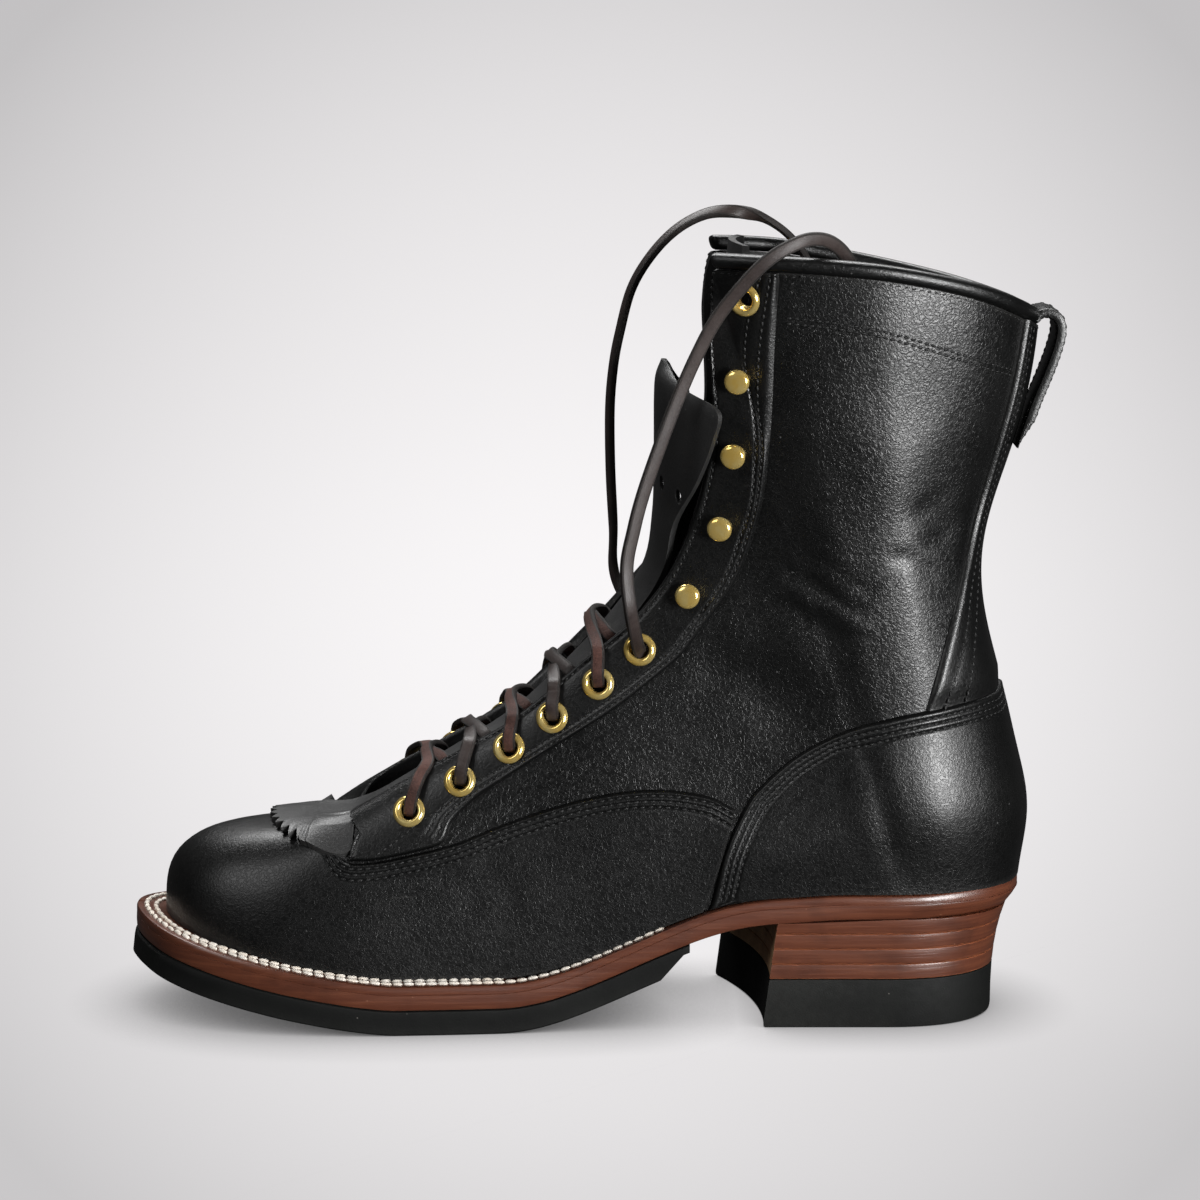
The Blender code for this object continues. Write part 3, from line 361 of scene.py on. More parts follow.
# place on the wall, as rib and height, of spots given by x and z in side view
def findOnSide(spots, side):
    tableU, tableV, tablePoints = sideTables[side]
    spots = np.asarray(spots, float)
    gaps = ((tablePoints[None, :, [0, 2]] - spots[:, None, :]) ** 2).sum(axis=2)
    k = gaps.argmin(axis=1)
    u, v = tableU[k].copy(), tableV[k].copy()
    stepU, stepV = sideSearch["stepU"], sideSearch["stepV"]
    mostU, mostV = sideSearch["mostU"], sideSearch["mostV"]
    for _ in range(sideSearch["rounds"]):
        here = onUpper(u, v)[:, [0, 2]]
        back = np.where(v > 0.99, -1.0, 1.0)
        du = (onUpper(u + stepU, v)[:, [0, 2]] - here) / stepU
        dv = (onUpper(u, v + stepV * back)[:, [0, 2]] - here) / (stepV * back)[:, None]
        miss = spots - here
        det = du[:, 0] * dv[:, 1] - du[:, 1] * dv[:, 0]
        det = np.where(abs(det) < 1e-6, 1e-6, det)
        moveU = (miss[:, 0] * dv[:, 1] - miss[:, 1] * dv[:, 0]) / det
        moveV = (du[:, 0] * miss[:, 1] - du[:, 1] * miss[:, 0]) / det
        u = u + np.clip(moveU, -mostU, mostU)
        v = np.clip(v + np.clip(moveV, -mostV, mostV), 0, 1)
    return np.stack([u, v], axis=1)


# smooth curve through points, or smooth surface through rows of points
def refineRows(rows, steps):
    ends = np.concatenate([2 * rows[:1] - rows[1:2], rows, 2 * rows[-1:] - rows[-2:-1]])
    fine = []
    for k in range(len(rows) - 1):
        before, start, end, after = ends[k:k + 4]
        for t in np.linspace(0, 1, steps, endpoint=False):
            fine.append(0.5 * (2 * start + (end - before) * t
                               + (2 * before - 5 * start + 4 * end - after) * t ** 2
                               + (3 * start - before - 3 * end + after) * t ** 3))
    return np.array(fine + [rows[-1]])


def evenly(line, step, values=None):
    values = line if values is None else values
    lengths = np.concatenate([[0], np.cumsum(np.linalg.norm(np.diff(line, axis=0), axis=1))])
    count = max(int(round(lengths[-1] / step)), 2)
    places = np.linspace(0, lengths[-1], count + 1)
    return np.stack([np.interp(places, lengths, column) for column in values.T], axis=1)


def smoothPath(points, step):
    return evenly(refineRows(np.array(points, float), 16), step)


def evenOnUpper(uv, step):
    return evenly(onUpper(uv[:, 0], uv[:, 1]), step, uv)


print("form of the last ready")


# shader groups that several finishes share
def newGroup(name, inputs, outputs):
    group = bpy.data.node_groups.new(name, "ShaderNodeTree")
    for socketName, value in inputs.items():
        socket = group.interface.new_socket(socketName, in_out="INPUT", socket_type="NodeSocketFloat")
        socket.default_value = value
    for socketName in outputs:
        group.interface.new_socket(socketName, in_out="OUTPUT", socket_type="NodeSocketFloat")
    return group, group.nodes.new("NodeGroupInput"), group.nodes.new("NodeGroupOutput")


def sized(tree, size):
    place = addNode(tree, "ShaderNodeTexCoord").outputs["Object"]
    perMetre = maths(tree, "DIVIDE", 1000.0, size)
    return addNode(tree, "ShaderNodeVectorMath", dict(operation="SCALE"), i0=place, Scale=perMetre).outputs[0]


def noise(tree, vector, scale, detail=2.0, rough=0.5, distortion=0.0):
    return addNode(tree, "ShaderNodeTexNoise", Vector=vector, Scale=scale, Detail=detail, Roughness=rough,
                   Distortion=distortion).outputs["Fac"]


def wormGrain():
    group, given, put = newGroup("wormGrain", dict(Size=2.4, Sharp=9.0), ("Height", "Lines"))
    place = sized(group, given.outputs["Size"])
    worms = noise(group, place, 1.0, 1.5, 0.45, 0.7)
    fold = maths(group, "ABSOLUTE", maths(group, "SUBTRACT", scaled(group, worms, 2.0), 1.0))
    lines = maths(group, "POWER", maths(group, "SUBTRACT", 1.0, fold, True), given.outputs["Sharp"])
    pebble = noise(group, place, 4.3, 2.5, 0.55)
    height = maths(group, "SUBTRACT", scaled(group, pebble, 0.25), lines)
    group.links.new(height, put.inputs["Height"])
    group.links.new(lines, put.inputs["Lines"])
    return group


def cloudTone():
    group, given, put = newGroup("cloudTone", dict(Size=40.0), ("Tone", "Mottle"))
    place = sized(group, given.outputs["Size"])
    wide = noise(group, place, 1.0, 3.0, 0.55, 0.3)
    near = noise(group, place, 6.0, 3.0, 0.6)
    group.links.new(between(group, wide, 0.32, 0.68), put.inputs["Tone"])
    group.links.new(near, put.inputs["Mottle"])
    return group


def scuffMarks():
    group, given, put = newGroup("scuffMarks", dict(Length=14.0, Amount=0.5), ("Mask",))
    place = addNode(group, "ShaderNodeTexCoord").outputs["Object"]
    scratches = []
    for turn, seed in ((0.5, 0.0), (-0.9, 3.1), (1.9, 7.7)):
        stretched = addNode(group, "ShaderNodeMapping", Vector=place, Location=(seed, seed, seed),
                            Rotation=(turn, turn * 0.7, turn * 0.4), Scale=(70, 1400, 1400)).outputs[0]
        scratches.append(between(group, noise(group, stretched, 1.0, 1.0, 0.4), 0.70, 0.76))
    most = maths(group, "MAXIMUM", maths(group, "MAXIMUM", scratches[0], scratches[1]), scratches[2])
    where = noise(group, sized(group, given.outputs["Length"]), 1.0, 2.0)
    patch = between(group, where, 0.5, 0.68)
    mask = scaled(group, maths(group, "MULTIPLY", most, patch), given.outputs["Amount"])
    group.links.new(mask, put.inputs["Mask"])
    return group


def edgeWear():
    group, given, put = newGroup("edgeWear", dict(From=0.53, To=0.62), ("Mask",))
    bend = addNode(group, "ShaderNodeNewGeometry").outputs["Pointiness"]
    worn = between(group, bend, given.outputs["From"], given.outputs["To"])
    broken = noise(group, sized(group, 3.0), 1.0, 3.0, 0.6)
    group.links.new(maths(group, "MULTIPLY", worn, broken), put.inputs["Mask"])
    return group


def dustSpecks():
    group, given, put = newGroup("dustSpecks", dict(Size=3.0, Amount=1.0), ("Mask",))
    cells = addNode(group, "ShaderNodeTexVoronoi", Vector=sized(group, given.outputs["Size"]), Scale=1.0)
    dot = between(group, cells.outputs["Distance"], 0.09, 0.05)
    pick = addNode(group, "ShaderNodeSeparateColor", Color=cells.outputs["Color"]).outputs[0]
    rare = between(group, pick, 0.86, 0.9)
    mask = scaled(group, maths(group, "MULTIPLY", dot, rare), given.outputs["Amount"])
    group.links.new(mask, put.inputs["Mask"])
    return group


groups = dict(wormGrain=wormGrain(), cloudTone=cloudTone(), scuffMarks=scuffMarks(), edgeWear=edgeWear(),
              dustSpecks=dustSpecks())


def useGroup(tree, name, **values):
    node = tree.nodes.new("ShaderNodeGroup")
    node.node_tree = groups[name]
    for key, value in values.items():
        node.inputs[key].default_value = value
    return node.outputs


def tinted(tree, mask, share, colour, tint):
    return mixed(tree, scaled(tree, mask, share), colour, tint)


def blended(tree, first, firstShare, second, secondShare):
    return maths(tree, "ADD", scaled(tree, first, firstShare), scaled(tree, second, secondShare))


def dress(tree, shader, colour, rough, height, deep):
    tree.links.new(colour, shader.inputs["Base Color"])
    tree.links.new(rough, shader.inputs["Roughness"])
    bump = addNode(tree, "ShaderNodeBump", Strength=1.0, Distance=deep * mm, Height=height)
    tree.links.new(bump.outputs[0], shader.inputs["Normal"])


# finishes
leatherLooks = dict(
    upperLeather=dict(deep=(0.0017, 0.0018, 0.0018), pale=(0.0046, 0.0047, 0.0046), rough=(0.24, 0.34),
                      grain=1.35, sharp=5.0, bump=0.062, scuffs=0.45, shine=0.5),
    overlayLeather=dict(deep=(0.0017, 0.0018, 0.0018), pale=(0.0044, 0.0045, 0.0044), rough=(0.25, 0.36),
                        grain=1.3, sharp=5.0, bump=0.04, scuffs=0.4, shine=0.5),
    # false tongue leather, also used for the tongue: coloured paler than the upper, partly its own greyer
    # leather and partly painted sheen standing in for the pale backdrop the fan would reflect
    kiltieLeather=dict(deep=(0.006, 0.006, 0.006), pale=(0.015, 0.015, 0.015), rough=(0.36, 0.5),
                       grain=0.9, sharp=6.0, bump=0.03, scuffs=0.35, shine=0.85),
    liningLeather=dict(deep=(0.005, 0.005, 0.005), pale=(0.012, 0.0117, 0.0115), rough=(0.6, 0.75),
                       grain=1.4, sharp=5.0, bump=0.08, scuffs=0.1, shine=0.4),
)
leatherWear = dict(scuff=(0.075, 0.073, 0.07), scuffShare=0.5, scuffDeep=-0.6, edge=(0.06, 0.058, 0.056),
                   edgeShare=0.55, speck=(0.16, 0.16, 0.16), speckSize=4.5, speckShare=0.5, toneSize=38.0,
                   grainRough=0.12, coat=(0.06, 0.22), coatRough=0.35)


def blackLeather(name, look):
    w = leatherWear
    material, tree, shader = newMaterial(name, Specular_IOR_Level=look["shine"],
                                         Coat_Roughness=w["coatRough"])
    grain = useGroup(tree, "wormGrain", Size=look["grain"], Sharp=look["sharp"])
    tone = useGroup(tree, "cloudTone", Size=w["toneSize"])
    scuffs = useGroup(tree, "scuffMarks", Amount=look["scuffs"])
    wear = useGroup(tree, "edgeWear")
    specks = useGroup(tree, "dustSpecks", Size=w["speckSize"], Amount=w["speckShare"])
    colour = mixed(tree, tone["Tone"], look["deep"], look["pale"])
    colour = tinted(tree, scuffs["Mask"], w["scuffShare"], colour, w["scuff"])
    colour = tinted(tree, wear["Mask"], w["edgeShare"], colour, w["edge"])
    colour = mixed(tree, specks["Mask"], colour, w["speck"])
    rough = ranged(tree, tone["Mottle"], *look["rough"])
    rough = maths(tree, "ADD", rough, scaled(tree, grain["Lines"], w["grainRough"]))
    height = maths(tree, "ADD", grain["Height"], scaled(tree, scuffs["Mask"], w["scuffDeep"]))
    dress(tree, shader, colour, rough, height, look["bump"])
    tree.links.new(ranged(tree, tone["Tone"], *w["coat"]), shader.inputs["Coat Weight"])
    return material


laceLooks = dict(
    laceGrain=dict(deep=(0.024, 0.016, 0.0145), pale=(0.06, 0.046, 0.042), rough=(0.38, 0.55),
                   nap=0.7, bump=0.08),
    laceFlesh=dict(deep=(0.034, 0.013, 0.0095), pale=(0.115, 0.05, 0.038), rough=(0.7, 0.9),
                   nap=0.9, bump=0.3),
    laceEdge=dict(deep=(0.008, 0.0065, 0.006), pale=(0.03, 0.023, 0.02), rough=(0.6, 0.8),
                  nap=0.6, bump=0.15),
)


def laceLeather(name, look):
    material, tree, shader = newMaterial(name, Specular_IOR_Level=0.45)
    nap = noise(tree, sized(tree, look["nap"]), 1.0, 4.0, 0.65, 0.5)
    tone = useGroup(tree, "cloudTone", Size=12.0)
    blend = between(tree, blended(tree, nap, 0.75, tone["Tone"], 0.35), 0.3, 0.8)
    colour = mixed(tree, blend, look["deep"], look["pale"])
    dress(tree, shader, colour, ranged(tree, nap, *look["rough"]), nap, look["bump"])
    return material


# brown sole leather, which shows a pale line between the lifts of the heel
soleLooks = dict(base=(0.105, 0.031, 0.0155), glow=(0.15, 0.047, 0.022), dark=(0.035, 0.011, 0.007),
                 line=(0.36, 0.115, 0.05), speck=(0.6, 0.33, 0.2), rough=(0.26, 0.42), coat=(0.4, 0.8),
                 coatRough=0.3, shine=0.5, streakLong=26, streakHigh=1.1, toneSize=16.0, speckSize=2.6,
                 speckShare=0.7, waver=0.9, bump=0.12)
edgeLooks = dict(soleEdge=dict(linePitch=0), heelStack=dict(lineStart=17.5, linePitch=5.45))


def brownEdge(name, look):
    s = soleLooks
    material, tree, shader = newMaterial(name, Coat_Roughness=s["coatRough"], Specular_IOR_Level=s["shine"])
    place = addNode(tree, "ShaderNodeTexCoord").outputs["Object"]
    long, high = 1000 / s["streakLong"], 1000 / s["streakHigh"]
    stretched = addNode(tree, "ShaderNodeMapping", Vector=place, Scale=(long, long, high)).outputs[0]
    streak = noise(tree, stretched, 1.0, 3.0, 0.6, 0.4)
    tone = useGroup(tree, "cloudTone", Size=s["toneSize"])
    specks = useGroup(tree, "dustSpecks", Size=s["speckSize"], Amount=s["speckShare"])
    wear = useGroup(tree, "edgeWear")
    colour = mixed(tree, between(tree, streak, 0.42, 0.72), s["base"], s["glow"])
    colour = mixed(tree, between(tree, tone["Tone"], 0.55, 1.0, 0.4), colour, s["dark"])
    if look["linePitch"]:
        level = addNode(tree, "ShaderNodeSeparateXYZ", Vector=place).outputs[2]
        waver = scaled(tree, maths(tree, "SUBTRACT", tone["Mottle"], 0.5), s["waver"] * mm)
        rank = maths(tree, "SUBTRACT", maths(tree, "ADD", level, waver), look["lineStart"] * mm)
        rank = maths(tree, "DIVIDE", rank, look["linePitch"] * mm)
        near = maths(tree, "ABSOLUTE", maths(tree, "SUBTRACT", rank, maths(tree, "ROUND", rank)))
        line = between(tree, near, 0.075, 0.03)
        line = maths(tree, "MULTIPLY", line, ranged(tree, streak, 0.1, 1.2), True)
        colour = mixed(tree, line, colour, s["line"])
    colour = tinted(tree, wear["Mask"], 0.4, colour, s["glow"])
    colour = tinted(tree, specks["Mask"], 0.6, colour, s["speck"])
    height = maths(tree, "ADD", streak, scaled(tree, tone["Mottle"], 0.4))
    dress(tree, shader, colour, ranged(tree, streak, *s["rough"]), height, s["bump"])
    tree.links.new(ranged(tree, tone["Mottle"], *s["coat"]), shader.inputs["Coat Weight"])
    return material


rawLooks = dict(
    breastLeather=dict(deep=(0.34, 0.18, 0.08), pale=(0.85, 0.6, 0.36), layer=1.6),
    insoleLeather=dict(deep=(0.24, 0.13, 0.065), pale=(0.42, 0.26, 0.15), layer=9.0),
)
rawStain = dict(colour=(0.12, 0.05, 0.025), most=0.35, size=9.0)


def rawLeather(name, look):
    material, tree, shader = newMaterial(name, Specular_IOR_Level=0.25)
    place = addNode(tree, "ShaderNodeTexCoord").outputs["Object"]
    fine = 1000 / look["layer"]
    stretched = addNode(tree, "ShaderNodeMapping", Vector=place, Scale=(140, 70, fine)).outputs[0]
    fibre = noise(tree, stretched, 1.0, 4.0, 0.65, 1.2)
    tone = useGroup(tree, "cloudTone", Size=rawStain["size"])
    colour = mixed(tree, fibre, look["deep"], look["pale"])
    colour = mixed(tree, ranged(tree, tone["Tone"], 0.0, rawStain["most"]), colour, rawStain["colour"])
    dress(tree, shader, colour, ranged(tree, fibre, 0.62, 0.85), fibre, 0.25)
    return material


rubberLooks = dict(
    soleRubber=dict(deep=(0.003, 0.0033, 0.0031), pale=(0.0065, 0.007, 0.0065), edge=(0.06, 0.06, 0.055),
                    edgeShare=0.5, speck=(0.14, 0.13, 0.12), rough=(0.55, 0.8), shine=0.22, skin=0.7,
                    bump=0.06),
)


def blackRubber(name, look):
    material, tree, shader = newMaterial(name, Specular_IOR_Level=look["shine"])
    tone = useGroup(tree, "cloudTone", Size=22.0)
    specks = useGroup(tree, "dustSpecks", Size=3.4, Amount=0.8)
    wear = useGroup(tree, "edgeWear")
    colour = mixed(tree, tone["Tone"], look["deep"], look["pale"])
    colour = tinted(tree, wear["Mask"], look["edgeShare"], colour, look["edge"])
    colour = mixed(tree, specks["Mask"], colour, look["speck"])
    skin = noise(tree, sized(tree, look["skin"]), 1.0, 3.0, 0.6)
    dress(tree, shader, colour, ranged(tree, tone["Mottle"], *look["rough"]), skin, look["bump"])
    return material


brassLooks = dict(
    brass=dict(deep=(1.0, 0.68, 0.17), pale=(1.0, 0.8, 0.33), rough=(0.13, 0.2), metal=0.7, scuffs=0.2,
               scuffLong=4.0, scuffRough=0.15, bump=0.006),
)


def polishedBrass(name, look):
    material, tree, shader = newMaterial(name, Metallic=look["metal"])
    tone = useGroup(tree, "cloudTone", Size=5.0)
    wear = useGroup(tree, "scuffMarks", Length=look["scuffLong"], Amount=look["scuffs"])
    colour = mixed(tree, tone["Tone"], look["deep"], look["pale"])
    rough = ranged(tree, tone["Tone"], *look["rough"])
    rough = maths(tree, "ADD", rough, scaled(tree, wear["Mask"], look["scuffRough"]))
    dress(tree, shader, colour, rough, maths(tree, "ADD", tone["Tone"], wear["Mask"]), look["bump"])
    return material


threadLooks = dict(
    blackThread=dict(deep=(0.004, 0.004, 0.004), pale=(0.022, 0.022, 0.022), rough=(0.4, 0.6), twist=0.5),
    whiteThread=dict(deep=(0.72, 0.6, 0.46), pale=(1.0, 0.98, 0.93), rough=(0.55, 0.75), twist=0.6),
)


def sewingThread(name, look):
    material, tree, shader = newMaterial(name, Specular_IOR_Level=0.4)
    fibre = noise(tree, sized(tree, look["twist"]), 1.0, 3.0, 0.6, 0.8)
    tone = useGroup(tree, "cloudTone", Size=8.0)
    blend = blended(tree, fibre, 0.6, tone["Tone"], 0.4)
    colour = mixed(tree, blend, look["deep"], look["pale"])
    dress(tree, shader, colour, ranged(tree, fibre, *look["rough"]), fibre, 0.12)
    return material


finishMakers = ((blackLeather, leatherLooks), (laceLeather, laceLooks), (brownEdge, edgeLooks),
                (rawLeather, rawLooks), (blackRubber, rubberLooks), (polishedBrass, brassLooks),
                (sewingThread, threadLooks))
finishes = {name: make(name, look) for make, looks in finishMakers for name, look in looks.items()}
print(len(finishes), "finishes made")


# mesh helpers
def addPiece(name, points, faces, looks, stands=(), marks=None, sharp=40.0, turn=False):
    mesh = bpy.data.meshes.new(name)
    mesh.from_pydata((np.asarray(points, float).reshape(-1, 3) * mm).tolist(), [], faces)
    for look in [looks] if isinstance(looks, str) else looks:
        mesh.materials.append(finishes[look])
    if marks is not None:
        mesh.polygons.foreach_set("material_index", np.asarray(marks, np.int32))
    if turn:
        bm = bmesh.new()
        bm.from_mesh(mesh)
        bmesh.ops.recalc_face_normals(bm, faces=bm.faces)
        bm.to_mesh(mesh)
        bm.free()
    mesh.update()
    mesh.shade_smooth()
    mesh.set_sharp_from_angle(angle=math.radians(sharp))
    item = bpy.data.objects.new(name, mesh)
    bpy.context.scene.collection.objects.link(item)
    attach(item, "root")
    if stands:
        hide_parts(*stands)
    return item


def gridFaces(n, m, ring=False, first=0, flip=False):
    i, j = np.meshgrid(np.arange(n if ring else n - 1), np.arange(m - 1), indexing="ij")
    here, after = i * m + j, (i + 1) % n * m + j
    faces = np.stack([here, after, after + 1, here + 1], axis=2).reshape(-1, 4) + first
    return (faces[:, ::-1] if flip else faces).tolist()


def shell(outer, inner, ring=False):
    n, m = outer.shape[:2]
    inside = n * m
    faces = gridFaces(n, m, ring) + gridFaces(n, m, ring, inside, True)
    for i in range(n if ring else n - 1):
        after = (i + 1) % n
        low, high, lowNext, highNext = i * m, i * m + m - 1, after * m, after * m + m - 1
        faces.append((low + inside, lowNext + inside, lowNext, low))
        faces.append((high, highNext, highNext + inside, high + inside))
    if not ring:
        last = (n - 1) * m
        for j in range(m - 1):
            faces.append((j, j + 1, j + 1 + inside, j + inside))
            faces.append((last + j + 1, last + j, last + j + inside, last + j + 1 + inside))
    return np.concatenate([outer.reshape(-1, 3), inner.reshape(-1, 3)]), faces


def gridNormals(grid):
    normal = np.cross(np.gradient(grid, axis=0), np.gradient(grid, axis=1))
    return normal / np.maximum(np.linalg.norm(normal, axis=2), 1e-9)[..., None]


def loopLoft(sections, ring=False):
    sections = np.asarray(sections, float)
    n, m = sections.shape[:2]
    faces = []
    for i in range(n if ring else n - 1):
        after = (i + 1) % n
        for k in range(m):
            k2 = (k + 1) % m
            faces.append((i * m + k, i * m + k2, after * m + k2, after * m + k))
    if not ring:
        faces.append(tuple(range(m - 1, -1, -1)))
        faces.append(tuple(range((n - 1) * m, n * m)))
    return sections.reshape(-1, 3), faces


# the wall of the boot
upperMesh = dict(columnStep=3.0, rows=96, paceLevels=(0.15, 0.6, 1.0), paceCount=1441)


def ribPlaces(step):
    dense = np.linspace(0, ribCount, upperMesh["paceCount"])
    line = np.stack([onUpper(dense, np.full(len(dense), v)) for v in upperMesh["paceLevels"]])
    paces = np.linalg.norm(np.diff(line, axis=1), axis=2).max(axis=0)
    lengths = np.concatenate([[0], np.cumsum(paces)])
    count = int(lengths[-1] / step)
    return np.interp(np.linspace(0, lengths[-1], count, endpoint=False), lengths, dense)


def makeUpper():
    us = ribPlaces(upperMesh["columnStep"])
    vs = np.linspace(0, 1, upperMesh["rows"])
    u, v = np.meshgrid(us, vs, indexing="ij")
    outer = above(u, v, 0.0)
    inner = above(u, v, -leatherForm["wall"])
    points, faces = shell(outer, inner, ring=True)
    quads = len(us) * (len(vs) - 1)
    marks = np.zeros(len(faces), int)
    marks[quads:2 * quads] = 1
    looks = ("upperLeather", "liningLeather")
    item = addPiece("bootUpper", points, faces, looks, ("upper",), marks)
    return item, len(faces)


upperPiece, upperFaces = makeUpper()
print("upper:", upperFaces, "faces")


# leather overlays, each a panel between its seam edge and its root
seams = dict(
    vampWing=[(-188.6, 63.5), (-187.3, 60.2), (-183.5, 57.6), (-176, 57.9), (-167, 59.5), (-147, 64.5),
              (-131, 71), (-111, 78), (-93, 82.5), (-76, 84), (-60, 82), (-50.5, 77.5)],
    counterEdge=[(-60.5, 38), (-58, 46), (-54, 62), (-47.5, 77), (-42, 85), (-28.5, 97), (-11.5, 106),
                 (5.5, 111), (24, 114), (36, 115.5)],
    eyestayRear=[(-184, 58.2), (-176, 58.5), (-167, 60.2), (-158, 62.3), (-152.5, 64.0), (-150, 66.5),
                 (-147.5, 72.5), (-139.5, 80), (-127, 88.5), (-113.5, 97.5), (-100, 106), (-88.5, 114),
                 (-77.5, 123), (-68.5, 131), (-61.5, 140.5), (-50, 158), (-42.5, 182), (-39.5, 208),
                 (-38.5, 240), (-37.5, 262.5)],
    eyestayFront=dict(lateral=[(-184, 58.2), (-183.2, 62.5), (-181.2, 67), (-178.9, 70.2)],
                      medial=[(-184, 58.2), (-183.4, 62), (-181.9, 66), (-179.9, 69.2)]),
    facingRow=[(-175.5, 59.5), (-170.8, 62.5), (-164.8, 67), (-160, 71), (-155, 74), (-150, 77),
               (-144.5, 80.3)],
    backstayEdge=[(13.2, 109), (19.4, 130.8), (24.5, 149.4), (32.2, 180), (37.2, 199.4), (42.9, 222),
                  (46.8, 244)],
)
sewing = dict(
    vamp=dict(rows=(2.0, 4.0, 5.9), pitch=2.9, long=2.2, wide=1.05, groove=0.5),
    counter=dict(rows=(2.6, 4.7, 6.8), pitch=2.5, long=1.9, wide=1.0, groove=0.42),
    eyestayRear=dict(rows=(1.9, 4.1), pitch=2.5, long=1.9, wide=0.95, groove=0.38),
    eyestayFront=dict(rows=(2.1,), pitch=2.5, long=1.8, wide=0.95, groove=0.34),
    backstay=dict(rows=(3.2, 6.6), pitch=2.5, long=1.9, wide=0.95, groove=0.2),
    collar=dict(rows=(0.0, 1.9), pitch=2.5, long=2.0, wide=1.0),
    binding=dict(pitch=2.7, long=1.6, wide=0.75),
    pullLoop=dict(pitch=2.6, long=1.7, wide=0.75),
)
panelForm = dict(edgeRound=1.2, edgeDrop=0.72, grooveWide=0.5, least=0.6, oneSide=0.9, bothSides=0.46,
                 under=0.25, sewnMost=0.45, sewnRoom=1.6, sewnDeep=0.6, seamStep=1.2, edgeStep=1.5)
panelRows = np.concatenate([[0, 0.25, 0.55, 0.9], np.arange(1.3, 9.01, 0.42)])  # mm from the seam edge
stitches = []  # place, run, out, long, wide of every dark stitch


def edgeLift(gap, sewn, sewnHere=1.0):
    rounding = 1 - panelForm["edgeDrop"] * np.clip(1 - gap / panelForm["edgeRound"], 0, 1) ** 2
    wide = panelForm["grooveWide"]
    groove = sum(sewn["groove"] * np.exp(-((gap - row) / wide) ** 2) for row in sewn["rows"])
    return leatherForm["overlay"] * rounding - groove * sewnHere


def ruledPanel(edge, root, coarse, sewn, rootSewn=None, rootFrom=None):
    edgePoints, rootPoints = onUpper(edge[:, 0], edge[:, 1]), onUpper(root[:, 0], root[:, 1])
    length = np.maximum(np.linalg.norm(edgePoints - rootPoints, axis=1), panelForm["least"])[:, None]
    room = panelForm["bothSides"] if rootSewn else panelForm["oneSide"]
    squeeze = np.minimum(1.0, room * length / panelRows[-1])
    near = panelRows[None, :] * squeeze / length
    if rootSewn:
        middle = near[:, -1:] + (1 - 2 * near[:, -1:]) * np.linspace(0, 1, coarse + 2)[None, 1:-1]
        shares = np.concatenate([near, middle, 1 - near[:, ::-1]], axis=1)
    else:
        middle = near[:, -1:] + (1 - near[:, -1:]) * np.linspace(0, 1, coarse + 1)[None, 1:]
        shares = np.concatenate([near, middle], axis=1)
    uv = edge[:, None, :] + (root - edge)[:, None, :] * shares[..., None]
    lift = edgeLift(shares * length, sewn)
    if rootSewn:
        sewnHere = (rootPoints[:, :1] > rootFrom).astype(float)
        lift = np.minimum(lift, edgeLift((1 - shares) * length, rootSewn, sewnHere))
    return uv[:, ::-1], lift[:, ::-1], length


def addPanel(name, uv, lift, stands):
    outer = above(uv[..., 0], uv[..., 1], lift)
    inner = above(uv[..., 0], uv[..., 1], np.full(lift.shape, -panelForm["under"]))
    points, faces = shell(outer, inner)
    return addPiece(name, points, faces, "overlayLeather", (stands,), turn=True)


def sewRow(uv, sewn, lift, sunk=0.12):
    even = evenOnUpper(uv, sewn["pitch"])
    points = above(even[:, 0], even[:, 1], lift - sunk)
    run = np.gradient(points, axis=0)
    out = offUpper(even[:, 0], even[:, 1])
    for place, along, up in zip(points[1:-1], run[1:-1], out[1:-1]):
        stitches.append((place, along / np.linalg.norm(along), up, sewn["long"], sewn["wide"]))


def sewPanel(edge, root, length, sewn, fromX=-300.0):
    behind = onUpper(edge[:, 0], edge[:, 1])[:, 0] > fromX
    for row in sewn["rows"]:
        share = np.minimum(row / length[:, 0], panelForm["sewnMost"])[:, None]
        line = edge + (root - edge) * share
        keep = (length[:, 0] > row * panelForm["sewnRoom"]) & behind
        sewRow(line[keep], sewn, leatherForm["overlay"] - sewn["groove"] * panelForm["sewnDeep"])


# vamp: its edge crosses the toe at one x, then follows the wings
vampForm = dict(frontX=-189.0, frontU=2.75, frontCount=40, rear=(-61.5, 40.0), easeFrom=5, sewnFrom=2.2,
                columns=26)


def acrossToe(side):
    sign = 1 if side == "lateral" else -1
    us = np.linspace(0, vampForm["frontU"], vampForm["frontCount"])
    low, high = np.full(len(us), 0.3), np.ones(len(us))
    for _ in range(30):
        middle = (low + high) / 2
        ahead = onUpper(sign * us, middle)[:, 0] < vampForm["frontX"]
        low = np.where(ahead, middle, low)
        high = np.where(ahead, high, middle)
    return np.stack([us * sign % ribCount, (low + high) / 2], axis=1)


def signedU(uv, side):
    u = uv[:, 0].copy()
    if side == "medial":
        u = np.where(u > backRib, u - ribCount, u)
    return np.stack([u, uv[:, 1]], axis=1)


